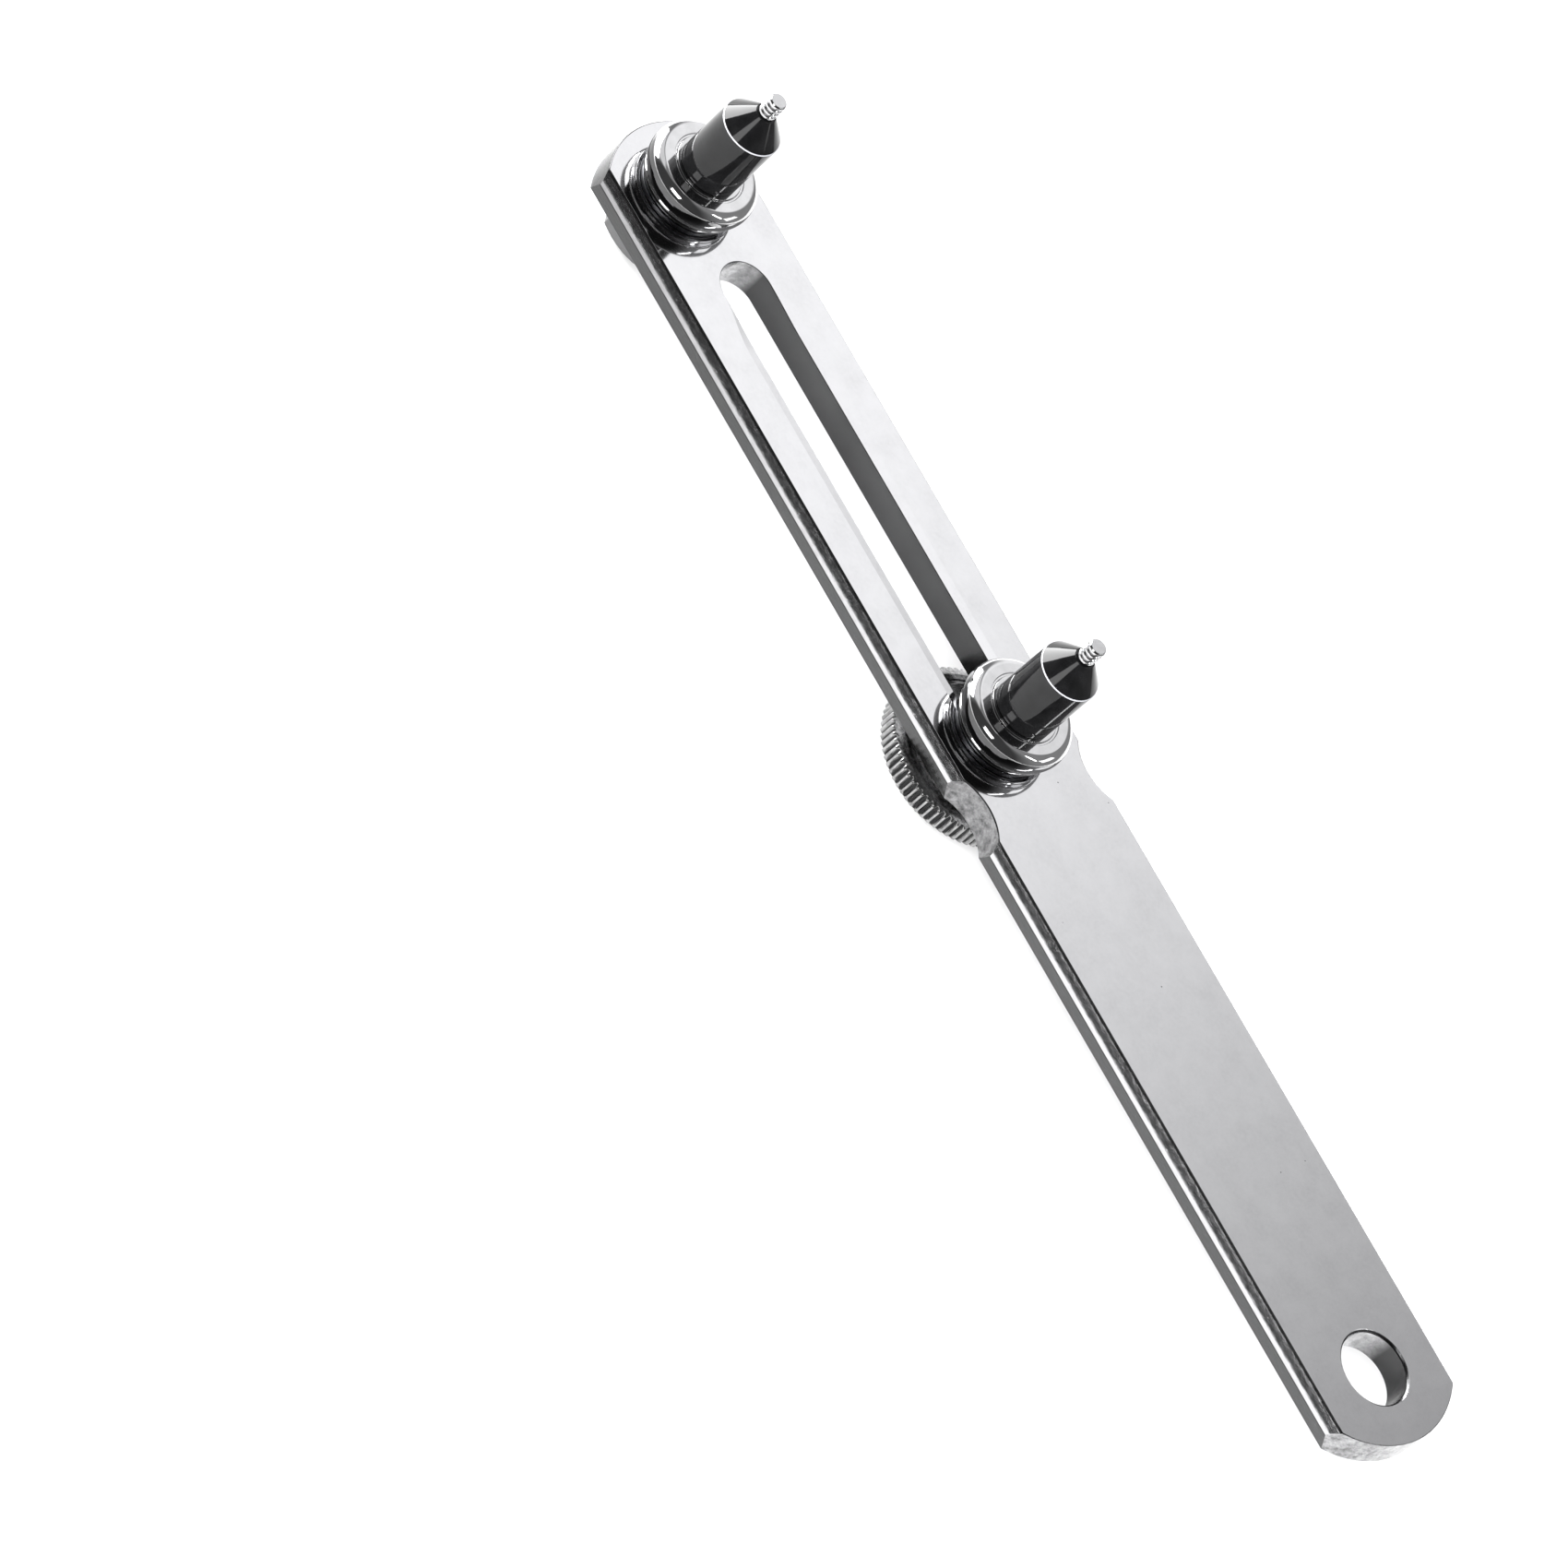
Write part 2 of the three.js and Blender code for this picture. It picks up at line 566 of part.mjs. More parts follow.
/** Hexagon nut with its corners turned down by a cone at both ends. */
function headHexNut() {
  const cornerRadius = HEX_NUT_ACROSS_FLATS / Math.sqrt(3);
  const flatRadius = HEX_NUT_ACROSS_FLATS / 2;
  const corners = [];
  for (let corner = 0; corner < 6; corner += 1) {
    const angle = HEX_NUT_CORNER_ANGLE + (Math.PI / 3) * corner;
    const x = FIXED_PIN_X + cornerRadius * Math.cos(angle);
    corners.push(new THREE.Vector2(x, cornerRadius * Math.sin(angle)));
  }
  const coneRise = (cornerRadius - flatRadius) * HEX_NUT_CONE_SLOPE;
  const envelope = turned(FIXED_PIN_X, [
    [0, HEX_NUT_BOTTOM_Z],
    [flatRadius, HEX_NUT_BOTTOM_Z],
    [cornerRadius + 0.01, HEX_NUT_BOTTOM_Z + coneRise],
    [cornerRadius + 0.01, HEX_NUT_TOP_Z - coneRise],
    [flatRadius, HEX_NUT_TOP_Z],
    [0, HEX_NUT_TOP_Z],
  ]);
  const hole = new THREE.Shape();
  hole.absarc(FIXED_PIN_X, 0, THREAD_HOLE_RADIUS, 0, 2 * Math.PI, false);
  return prism(new THREE.Shape(corners), HEX_NUT_BOTTOM_Z, HEX_NUT_TOP_Z)
    .intersect(envelope)
    .subtract(prism(hole, HEX_NUT_BOTTOM_Z - OVERSHOOT, HEX_NUT_TOP_Z + OVERSHOOT));
}

// ---- Materials ----

function metal(name, color, roughness, metalness = 1) {
  return new THREE.MeshStandardMaterial({ name, color, roughness, metalness });
}

const satinNickel = metal('satin_nickel', 0xc9cacc, 0.3);
const polishedChrome = metal('polished_chrome', 0xd6d7d9, 0.12);
const blackenedSteel = metal('blackened_steel', 0x17181b, 0.16, 0.85);
const brightSteel = metal('bright_steel', 0xcfd0d2, 0.22);
const springSteel = metal('spring_steel', 0x86888c, 0.4);

// ---- The assembly ----

function piece(name, solid, material) {
  const mesh = new THREE.Mesh(geometryOf(solid), material);
  mesh.name = name;
  return mesh;
}

/** The pin with its tip and its snap ring. */
function pinGroup(name, x) {
  const group = new THREE.Group();
  group.add(piece(name, pin(x), blackenedSteel));
  group.add(piece(`${name}_tip`, pinTip(x), brightSteel));
  group.add(piece(`${name}_snap_ring`, snapRing(x), springSteel));
  return group;
}

function headGroup() {
  const group = new THREE.Group();
  group.add(piece('head_socket', socket(FIXED_PIN_X, HEAD_STUD_END_Z), polishedChrome));
  group.add(piece('head_base_washer', baseWasher(FIXED_PIN_X), springSteel));
  group.add(piece('head_flat_washer', headFlatWasher(), brightSteel));
  group.add(piece('head_lock_washer', headLockWasher(), springSteel));
  group.add(piece('head_hex_nut', headHexNut(), brightSteel));
  return group;
}

function sliderGroup() {
  const group = new THREE.Group();
  group.add(piece('slider_socket', sliderSocket(), polishedChrome));
  group.add(piece('slider_base_washer', baseWasher(SLIDING_PIN_X), springSteel));
  group.add(piece('stud_stop_ring', stopRing(), springSteel));
  return group;
}

function clampGroup() {
  const group = new THREE.Group();
  group.add(piece('clamp_washer', clampWasher(), brightSteel));
  group.add(piece('disc_spring', discSpring(), springSteel));
  group.add(piece('thumb_nut', thumbNut(), satinNickel));
  group.add(piece('thumb_ring', thumbRing(), polishedChrome));
  group.add(piece('thumb_cap', thumbCap(), polishedChrome));
  return group;
}

const opener = new THREE.Group();
opener.add(piece('handle_bar', handleBar(), satinNickel));
opener.add(headGroup());
opener.add(pinGroup('fixed_pin', FIXED_PIN_X));
opener.add(sliderGroup());
opener.add(pinGroup('sliding_pin', SLIDING_PIN_X));
opener.add(clampGroup());

export default opener;
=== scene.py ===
import math

import bmesh
import bpy
from mathutils import Matrix, Vector


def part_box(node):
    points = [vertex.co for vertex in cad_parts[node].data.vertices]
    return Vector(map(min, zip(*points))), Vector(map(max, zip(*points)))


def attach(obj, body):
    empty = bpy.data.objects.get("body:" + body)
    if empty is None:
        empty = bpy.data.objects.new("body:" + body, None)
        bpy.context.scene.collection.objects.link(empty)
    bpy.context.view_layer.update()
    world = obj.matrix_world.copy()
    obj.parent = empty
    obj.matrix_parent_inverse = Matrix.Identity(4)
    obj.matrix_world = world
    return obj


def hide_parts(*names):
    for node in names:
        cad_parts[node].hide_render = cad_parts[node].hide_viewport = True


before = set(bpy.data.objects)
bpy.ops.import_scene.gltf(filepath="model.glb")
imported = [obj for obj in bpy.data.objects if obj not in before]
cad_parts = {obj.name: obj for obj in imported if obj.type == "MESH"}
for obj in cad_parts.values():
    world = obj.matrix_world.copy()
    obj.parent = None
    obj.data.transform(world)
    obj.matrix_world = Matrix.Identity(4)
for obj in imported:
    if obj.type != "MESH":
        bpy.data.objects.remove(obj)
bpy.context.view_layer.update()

MM = 0.001


# ---- Driving dimensions, in millimetres, from the frame where it states them ----

def box_mm(node):
    """Lowest and highest corner of a CAD node at rest, in millimetres."""
    low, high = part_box(node)
    return low / MM, high / MM


bar_low, bar_high = box_mm("handle_bar")
FACE_Z = bar_high.z
BACK_Z = bar_low.z
HEAD_X = bar_low.x
TAIL_X = bar_high.x
RIDGE_HALF_WIDTH = bar_high.y

fixed_low, fixed_high = box_mm("fixed_pin")
sliding_low, sliding_high = box_mm("sliding_pin")
FIXED_X = (fixed_low.x + fixed_high.x) / 2
SLIDING_X = (sliding_low.x + sliding_high.x) / 2

FACE_HALF_WIDTH = 8.0
RIDGE_DEPTH = 1.4
END_RADIUS = 11.05
FACE_FILLET = 0.12
FILLET_STEPS = 3

SLOT_HALF_WIDTH = 3.05
SLOT_HEAD_X = HEAD_X + 18.7
SLOT_TAIL_X = SLIDING_X + 0.5
SLOT_BEVEL_WIDTH = 1.05
SLOT_BEVEL_DEPTH = 0.2
SLOT_BEVEL_FADE = 6

WAIST_X = HEAD_X + 73.7
WAIST_RADIUS = 5.5
WAIST_DEPTH = 1.05

HANG_HOLE_X = HEAD_X + 135.35
HANG_HOLE_RADIUS = 3.65
HANG_HOLE_BEVEL = 0.25

POCKET_START_X = HEAD_X + 88
POCKET_END_X = HEAD_X + 124
POCKET_HALF_WIDTH = 4.4
POCKET_DEPTH = 1.2
POCKET_LEAN = 0.22
POCKET_BEVEL = 0.08
POCKET_FOOT = 0.35
POCKET_FOOT_STEPS = 6

PIN_SHOULDER_Z = FACE_Z + 10.97

# Between parts that fit into each other.
CLEARANCE = 0.05

# How finely long sides and round shapes are divided.
SIDE_STEPS = 64
END_STEPS = 48
SCALLOP_STEPS = 24
UPPER_FLANK_STEPS = 12
LOWER_FLANK_STEPS = 8
SLOT_END_STEPS = 32
HOLE_STEPS = 96
ROUND_STEPS = 128

LARGEST_SHARE = 0.45
SHARP_DEGREES = 38
ON_AXIS = 1e-6

# The vertical part of a face's normal: above LEVEL_NORMAL the face is level, and above
# BEVEL_NORMAL a face of a hole is its bevel and not its wall.
LEVEL_NORMAL = 0.99999
BEVEL_NORMAL = 0.8


# ---- Mesh helpers ----

def new_object(name, mesh_builder, material, body, replaced):
    """Object from a bmesh in millimetres, riding on a body and standing for a CAD node."""
    mesh_builder.transform(Matrix.Scale(MM, 4))
    bmesh.ops.recalc_face_normals(mesh_builder, faces=mesh_builder.faces)
    mesh = bpy.data.meshes.new(name)
    mesh_builder.to_mesh(mesh)
    mesh_builder.free()
    level = [abs(polygon.normal.z) > LEVEL_NORMAL for polygon in mesh.polygons]
    mesh.polygons.foreach_set("use_smooth", [not flat for flat in level])
    mesh.set_sharp_from_angle(angle=math.radians(SHARP_DEGREES))
    sharpen_level_edges(mesh, level)
    obj = bpy.data.objects.new(name, mesh)
    bpy.context.scene.collection.objects.link(obj)
    weighted = obj.modifiers.new("face_weighted_normals", "WEIGHTED_NORMAL")
    weighted.keep_sharp = True
    obj.data.materials.append(material)
    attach(obj, body)
    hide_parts(replaced)
    return obj


def sharpen_level_edges(mesh, level):
    """Sharp edges wherever a level face meets one that isn't, so that flat faces shade flat."""
    kinds = {}
    for polygon in mesh.polygons:
        for key in polygon.edge_keys:
            kinds.setdefault(key, set()).add(level[polygon.index])
    for edge in mesh.edges:
        if len(kinds[edge.key]) == 2:
            edge.use_edge_sharp = True


def arc(centre_a, centre_b, radius, start_degrees, end_degrees, steps):
    """Points on an arc, both ends included."""
    points = []
    for step in range(steps + 1):
        angle = math.radians(start_degrees + (end_degrees - start_degrees) * step / steps)
        points.append((centre_a + radius * math.cos(angle), centre_b + radius * math.sin(angle)))
    return points


def full_circle(x, radius, steps):
    """Points round a circle about the vertical axis at x, without the first one again."""
    return arc(x, 0, radius, 0, 360 - 360 / steps, steps - 1)


def loop_of(bm, points, z):
    """New vertices at one height."""
    return [bm.verts.new((x, y, z)) for x, y in points]


def bridge(bm, lower, upper):
    """Quads between two loops that have the same number of points."""
    count = len(lower)
    return [
        bm.faces.new((lower[i], lower[(i + 1) % count], upper[(i + 1) % count], upper[i]))
        for i in range(count)
    ]


def edges_of(bm, loop):
    """Edges round a closed loop, made where they don't exist yet."""
    return [bm.edges.get((a, b)) or bm.edges.new((a, b)) for a, b in zip(loop, loop[1:] + loop[:1])]


def fill_between(bm, loops):
    """Flat face between an outer loop and the loops inside it."""
    edges = [edge for loop in loops for edge in edges_of(bm, loop)]
    made = bmesh.ops.triangle_fill(bm, use_beauty=True, use_dissolve=False, edges=edges)
    return [item for item in made["geom"] if isinstance(item, bmesh.types.BMFace)]


def paint(bm, layer_name, colours, plain):
    """Vertex colours that are the same all over a face, from a colour for each face that isn't plain."""
    layer = bm.loops.layers.color.new(layer_name)
    for face in bm.faces:
        for corner in face.loops:
            corner[layer] = colours.get(face, plain)


def turned(profile, x, steps=ROUND_STEPS):
    """Solid of revolution about the vertical axis at x, from a profile of (radius, z).

    The profile starts and ends on the axis, or it closes on itself."""
    bm = bmesh.new()
    closed = profile[0] == profile[-1]
    rings = []
    for radius, z in (profile[:-1] if closed else profile):
        if radius < ON_AXIS:
            rings.append([bm.verts.new((x, 0, z))])
            continue
        rings.append(loop_of(bm, full_circle(x, radius, steps), z))
    pairs = list(zip(rings, rings[1:]))
    if closed:
        pairs.append((rings[-1], rings[0]))
    for lower, upper in pairs:
        if len(lower) > 1 and len(upper) > 1:
            bridge(bm, lower, upper)
            continue
        centre, ring = (lower[0], upper) if len(lower) == 1 else (upper[0], lower)
        for i, vertex in enumerate(ring):
            bm.faces.new((centre, vertex, ring[(i + 1) % steps]))
    return bm


def rounded(corners, radius, steps=4):
    """Profile with each corner but the first and last rounded to the given radius.

    A corner may carry a radius of its own as its third number. A rounding takes up at most
    LARGEST_SHARE of the shorter side next to it."""
    points = [corners[0][:2]]
    for before, corner, after in zip(corners, corners[1:], corners[2:]):
        size = corner[2] if len(corner) > 2 else radius
        here = Vector(corner[:2])
        towards_start = Vector(before[:2]) - here
        towards_end = Vector(after[:2]) - here
        half_turn = towards_start.angle(towards_end) / 2
        longest = min(towards_start.length, towards_end.length) * LARGEST_SHARE
        reach = min(size / math.tan(half_turn), longest)
        start = here + towards_start.normalized() * reach
        end = here + towards_end.normalized() * reach
        for step in range(steps + 1):
            t = step / steps
            blended = start * (1 - t) ** 2 + here * 2 * t * (1 - t) + end * t ** 2
            points.append(tuple(blended))
    points.append(corners[-1][:2])
    return points


def rounded_ring(inner, outer, bottom, top, radius):
    """Closed profile of a flat ring with rounded edges."""
    start = ((inner + outer) / 2, bottom)
    corners = [start, (outer, bottom), (outer, top), (inner, top), (inner, bottom), start]
    return rounded(corners, radius)


def smoothstep(t):
    """A share kept between 0 and 1 and eased at both ends."""
    t = min(1, max(0, t))
    return t * t * (3 - 2 * t)


# ---- Materials ----

class Tree:
    """Short names for adding nodes to a node tree."""

    def __init__(self, tree):
        self.tree = tree

    def add(self, kind, **values):
        """New shader node of a kind, with its settings."""
        node = self.tree.nodes.new("ShaderNode" + kind)
        for key, value in values.items():
            setattr(node, key, value)
        return node

    def link(self, source, target):
        self.tree.links.new(source, target)

    def give(self, socket, value):
        """A plain number on a socket, or a link into it."""
        if isinstance(value, (int, float, tuple, list)):
            socket.default_value = value
        else:
            self.link(value, socket)

    def ramp(self, value, low, high, at_low, at_high, kind="LINEAR"):
        """value mapped from low..high to at_low..at_high, clamped."""
        node = self.add("MapRange", interpolation_type=kind)
        node.clamp = True
        limits = (("From Min", low), ("From Max", high), ("To Min", at_low), ("To Max", at_high))
        for key, number in limits:
            node.inputs[key].default_value = number
        self.link(value, node.inputs["Value"])
        return node.outputs["Result"]

    def math(self, operation, first, second=0):
        """Result of a sum, product or function of numbers or sockets."""
        node = self.add("Math", operation=operation)
        self.give(node.inputs[0], first)
        self.give(node.inputs[1], second)
        return node.outputs["Value"]

    def times(self, first, second):
        return self.math("MULTIPLY", first, second)


class Nodes(Tree):
    """Nodes of a new material that has one principled shader."""

    def __init__(self, name):
        self.material = bpy.data.materials.new(name)
        self.material.use_nodes = True
        super().__init__(self.material.node_tree)
        self.tree.nodes.clear()
        self.shader = self.add("BsdfPrincipled")
        self.link(self.shader.outputs["BSDF"], self.add("OutputMaterial").inputs["Surface"])

    def position(self, scale=(1, 1, 1)):
        """Object coordinates in millimetres, stretched by scale."""
        coordinates = self.add("TexCoord")
        mapping = self.add("Mapping")
        mapping.inputs["Scale"].default_value = [s / MM for s in scale]
        self.link(coordinates.outputs["Object"], mapping.inputs["Vector"])
        return mapping.outputs["Vector"]

    def noise(self, scale, detail, stretch=(1, 1, 1), roughness=0.55):
        """Noise with features of about 1 / scale millimetres."""
        node = self.add("TexNoise")
        node.inputs["Scale"].default_value = scale
        node.inputs["Detail"].default_value = detail
        node.inputs["Roughness"].default_value = roughness
        self.link(self.position(stretch), node.inputs["Vector"])
        return node.outputs["Fac"]

    def mix(self, factor, first, second):
        """Numbers mixed by a factor."""
        node = self.add("Mix", data_type="FLOAT")
        for key, value in (("Factor", factor), ("A", first), ("B", second)):
            self.give(next(s for s in node.inputs if s.name == key and s.type == "VALUE"), value)
        return next(s for s in node.outputs if s.type == "VALUE")

    def grey(self, value, tint=(1, 1, 1)):
        """Colour of the given brightness, slightly tinted."""
        node = self.add("CombineColor")
        for socket, share in zip(node.inputs, tint):
            self.link(self.times(value, share), socket)
        return node.outputs["Color"]

    def bump(self, height, strength, distance_mm, below=None):
        """Normal of a fine relief, on top of another relief if one is given."""
        node = self.add("Bump")
        node.inputs["Strength"].default_value = strength
        node.inputs["Distance"].default_value = distance_mm * MM
        self.link(height, node.inputs["Height"])
        if below is not None:
            self.link(below, node.inputs["Normal"])
        return node.outputs["Normal"]

    def facing(self, axis):
        """How far the surface faces along an axis of the object, from -1 to 1."""
        coordinates = self.add("TexCoord")
        split = self.add("SeparateXYZ")
        self.link(coordinates.outputs["Normal"], split.inputs["Vector"])
        return split.outputs[axis]

    def place(self, axis):
        """Where the surface is along an axis, in millimetres."""
        split = self.add("SeparateXYZ")
        self.link(self.position(), split.inputs["Vector"])
        return split.outputs[axis]

    def vertex_masks(self, layer):
        """The three channels of a mesh's vertex colours."""
        split = self.add("SeparateColor")
        self.link(self.add("VertexColor", layer_name=layer).outputs["Color"], split.inputs["Color"])
        return split.outputs["Red"], split.outputs["Green"], split.outputs["Blue"]

    def distance_from(self, axis, place_mm):
        """How far the surface is from a place on an axis, in millimetres."""
        return self.math("ABSOLUTE", self.math("SUBTRACT", self.place(axis), place_mm))

    def set(self, **inputs):
        """Plain numbers, or links, on the shader's sockets."""
        for key, value in inputs.items():
            self.give(self.shader.inputs[key.replace("_", " ")], value)


def speckles(nodes, scale, share):
    """Mask that is 1 in a few tiny round spots."""
    cells = nodes.add("TexVoronoi")
    cells.inputs["Scale"].default_value = scale
    cells.inputs["Randomness"].default_value = 1.0
    nodes.link(nodes.position(), cells.inputs["Vector"])
    spot = nodes.ramp(cells.outputs["Distance"], 0.03, 0.045, 1, 0)
    colour = nodes.add("SeparateColor")
    nodes.link(cells.outputs["Color"], colour.inputs["Color"])
    chosen = nodes.math("LESS_THAN", colour.outputs["Red"], share)
    return nodes.times(spot, chosen)


def flank_tone(nodes, grain):
    """Brushed sides with painted shade: darker underneath and towards the head, and painted dark
    lines under the ridge and under the face's edge."""
    # Painted shade on the faces that look down.
    underside_shade = nodes.ramp(nodes.facing("Z"), -0.22, -0.08, 1, 0)
    tone = nodes.times(nodes.ramp(grain, 0.36, 0.66, 0.50, 0.64), nodes.ramp(underside_shade, 0, 1, 1, 0.13))
    # Painted shade: dark lines under the ridge and under the face's edge.
    for line_z, width in ((FACE_Z - RIDGE_DEPTH - 0.05, 0.09), (FACE_Z - FACE_FILLET, 0.1)):
        line = nodes.ramp(nodes.distance_from("Z", line_z), width * 0.5, width, 0.15, 1)
        tone = nodes.times(tone, line)
    # Painted shade, darkest at the head and lifting towards the sliding pin.
    return nodes.times(tone, nodes.ramp(nodes.place("X"), HEAD_X, SLIDING_X, 0.42, 0.94))


def end_tone(nodes, mottle):
    """Ground ends and scallops: mottled, with painted shade that is darkest at the head and lifts towards
    the tail.
    """
    # Painted shade along the bar: darkest at the head's tip, lighter towards the tail.
    at_head = nodes.ramp(nodes.place("X"), HEAD_X + 4, HEAD_X + 8, 0.16, 1)
    at_tail = nodes.ramp(nodes.place("X"), WAIST_X + 10, TAIL_X, 0.42, 0.72)
    return nodes.times(nodes.ramp(mottle, 0.35, 0.65, 0.2, 0.75), nodes.times(at_head, at_tail))


def hole_tone(nodes, cloud, mottle):
    """Walls of the slot and holes in painted shade, with painted light where they face the tail."""
    # Painted light on walls that face the tail, painted shade elsewhere.
    tail_facing_light = nodes.ramp(nodes.facing("X"), 0.3, 0.9, 0, 1)
    wall_shade = nodes.ramp(cloud, 0.3, 0.7, 0.06, 0.08)
    return nodes.mix(tail_facing_light, wall_shade, nodes.ramp(mottle, 0.35, 0.65, 0.35, 0.75))


def polished_tone(nodes, fine):
    """Flat faces of the bar, in slightly uneven patches."""
    patches = nodes.ramp(nodes.noise(0.3, detail=6, roughness=0.6), 0.3, 0.7, 0, 1)
    return nodes.mix(patches, nodes.ramp(fine, 0.3, 0.75, 0.57, 0.61), 0.64)


def bar_nickel():
    """Plating: polished faces, ground flanks and ends, rougher hole walls, a stippled pocket floor;
    painted shade on the flanks, ends and hole walls, and painted light where the hole walls face the
    tail.
    """
    nodes = Nodes("bar_nickel")
    flat = nodes.ramp(nodes.math("ABSOLUTE", nodes.facing("Z")), 0.90, 0.975, 0, 1)
    in_hole, on_end, in_pocket = nodes.vertex_masks("finish_and_shade")
    cloud = nodes.noise(0.09, detail=3)
    fine = nodes.noise(2.2, detail=6)
    grain = nodes.noise(4.0, stretch=(0.3, 1, 1), detail=6, roughness=0.65)
    mottle = nodes.noise(1.3, detail=7, roughness=0.7)
    stipple = nodes.noise(1.6, detail=4, roughness=0.75)

    side_tone = nodes.mix(on_end, flank_tone(nodes, grain), end_tone(nodes, mottle))
    side_tone = nodes.mix(in_hole, side_tone, hole_tone(nodes, cloud, mottle))
    pocket_tone = nodes.ramp(stipple, 0.35, 0.65, 0.22, 0.5)
    face_tone = nodes.mix(in_pocket, polished_tone(nodes, fine), pocket_tone)
    dark_spots = nodes.ramp(speckles(nodes, 0.55, 0.16), 0, 1, 1, 0.15)
    tone = nodes.times(nodes.mix(flat, side_tone, face_tone), dark_spots)
    nodes.set(Base_Color=nodes.grey(tone, (1.0, 1.0, 1.015)), Metallic=1.0)

    side_rough = nodes.mix(in_hole, nodes.ramp(grain, 0.3, 0.75, 0.16, 0.3), 0.24)
    face_rough = nodes.mix(in_pocket, nodes.ramp(cloud, 0.35, 0.7, 0.055, 0.09), 0.34)
    nodes.set(Roughness=nodes.mix(flat, side_rough, face_rough))

    waves = nodes.bump(nodes.noise(0.16, detail=2), 0.3, 0.02)
    side_relief = nodes.mix(in_hole, nodes.mix(on_end, grain, mottle), nodes.times(grain, 0.15))
    face_relief = nodes.mix(in_pocket, nodes.times(fine, 0.04), nodes.times(stipple, 4))
    nodes.set(Normal=nodes.bump(nodes.mix(flat, side_relief, face_relief), 0.4, 0.03, below=waves))
    return nodes.material


def turned_metal(name, tones, roughness, grooves, painted_shade_front=False):
    """Metal with the fine rings that a lathe leaves, and if wanted painted shade on the parts that face
    sideways or down and towards -Y.
    """
    nodes = Nodes(name)
    rings = nodes.noise(7.0, stretch=(0.15, 0.15, 1), detail=3)
    shade = nodes.ramp(nodes.noise(0.8, detail=4), 0.3, 0.7, *tones)
    if painted_shade_front:
        # Painted shade: darker on faces that look sideways or down and towards -Y.
        low = nodes.ramp(nodes.facing("Z"), 0.30, 0.44, 1, 0)
        beside = nodes.ramp(nodes.facing("Y"), -0.62, -0.40, 1, 0)
        shade = nodes.times(shade, nodes.ramp(nodes.times(low, beside), 0, 1, 1, 0.16))
    nodes.set(Base_Color=nodes.grey(shade, (1, 1, 1.01)), Metallic=1.0)
    nodes.set(Roughness=nodes.ramp(rings, 0.3, 0.75, roughness * 0.8, roughness * 1.4))
    nodes.set(Normal=nodes.bump(rings, grooves, 0.02))
    return nodes.material


def black_gloss():
    """Hardened steel under a glossy black lacquer, with a painted highlight line round the shoulder."""
    nodes = Nodes("black_gloss_steel")
    cloud = nodes.noise(0.7, detail=5)
    dust = nodes.times(speckles(nodes, 1.1, 0.10), 0.25)
    tone = nodes.math("ADD", nodes.ramp(cloud, 0.3, 0.7, 0.003, 0.008), dust)
    # Painted highlight: a bright line round the shoulder.
    shoulder_highlight = nodes.ramp(nodes.distance_from("Z", PIN_SHOULDER_Z), 0.03, 0.06, 0.45, 0)
    tone = nodes.math("ADD", tone, shoulder_highlight)
    nodes.set(Base_Color=nodes.grey(tone, (0.97, 0.98, 1.04)))
    nodes.set(Metallic=0.0, IOR=1.5, Specular_IOR_Level=0.28)
    nodes.set(Roughness=nodes.ramp(cloud, 0.35, 0.7, 0.05, 0.1))
    nodes.set(Normal=nodes.bump(nodes.noise(1.6, detail=3), 0.06, 0.03))
    return nodes.material


def knurl_nickel():
    """Plated knurl with painted shade in its valleys."""
    nodes = Nodes("knurl_nickel")
    pits = nodes.noise(3.0, stretch=(1, 1, 0.4), detail=5)
    valley, _, _ = nodes.vertex_masks("valley")
    # Painted shade: the deeper in a valley, the nearer to black.
    tone = nodes.mix(valley, nodes.ramp(pits, 0.3, 0.7, 0.2, 0.46), 0.02)
    nodes.set(Base_Color=nodes.grey(tone), Metallic=1.0)
    nodes.set(Roughness=nodes.mix(valley, nodes.ramp(pits, 0.3, 0.7, 0.14, 0.26), 0.45))
    nodes.set(Normal=nodes.bump(pits, 0.4, 0.03))
    return nodes.material


def dark_spring():
    """Blued spring steel."""
    nodes = Nodes("dark_spring_steel")
    cloud = nodes.noise(1.2, detail=6)
    tone = nodes.ramp(cloud, 0.3, 0.7, 0.10, 0.2)
    nodes.set(Base_Color=nodes.grey(tone, (0.98, 0.99, 1.03)), Metallic=1.0)
    nodes.set(Roughness=nodes.ramp(cloud, 0.3, 0.7, 0.25, 0.42))
    nodes.set(Normal=nodes.bump(cloud, 0.15, 0.03))
    return nodes.material


def floor_paper():
    """Plain pale card."""
    nodes = Nodes("floor_card")
    fibre = nodes.noise(0.5, detail=5)
    nodes.set(Base_Color=nodes.grey(nodes.ramp(fibre, 0.3, 0.7, 0.86, 0.88)))
    nodes.set(Roughness=0.9, Specular_IOR_Level=0.1)
    return nodes.material


BAR = bar_nickel()
CHROME = turned_metal("socket_chrome", (0.52, 0.58), roughness=0.05, grooves=0.08, painted_shade_front=True)
CAP = turned_metal("cap_chrome", (0.558, 0.62), roughness=0.05, grooves=0.05)
BRIGHT = turned_metal("bright_steel", (0.45, 0.5), roughness=0.22, grooves=0.3)
# The nut's nickel is made far darker, as painted shade for the shadow under the bar.
NUT = turned_metal("nut_nickel", (0.135, 0.15), roughness=0.18, grooves=0.25)
TIP = turned_metal("tip_steel", (0.45, 0.5), roughness=0.12, grooves=0.2)
BLACK = black_gloss()
KNURL = knurl_nickel()
SPRING = dark_spring()


# ---- The bar ----

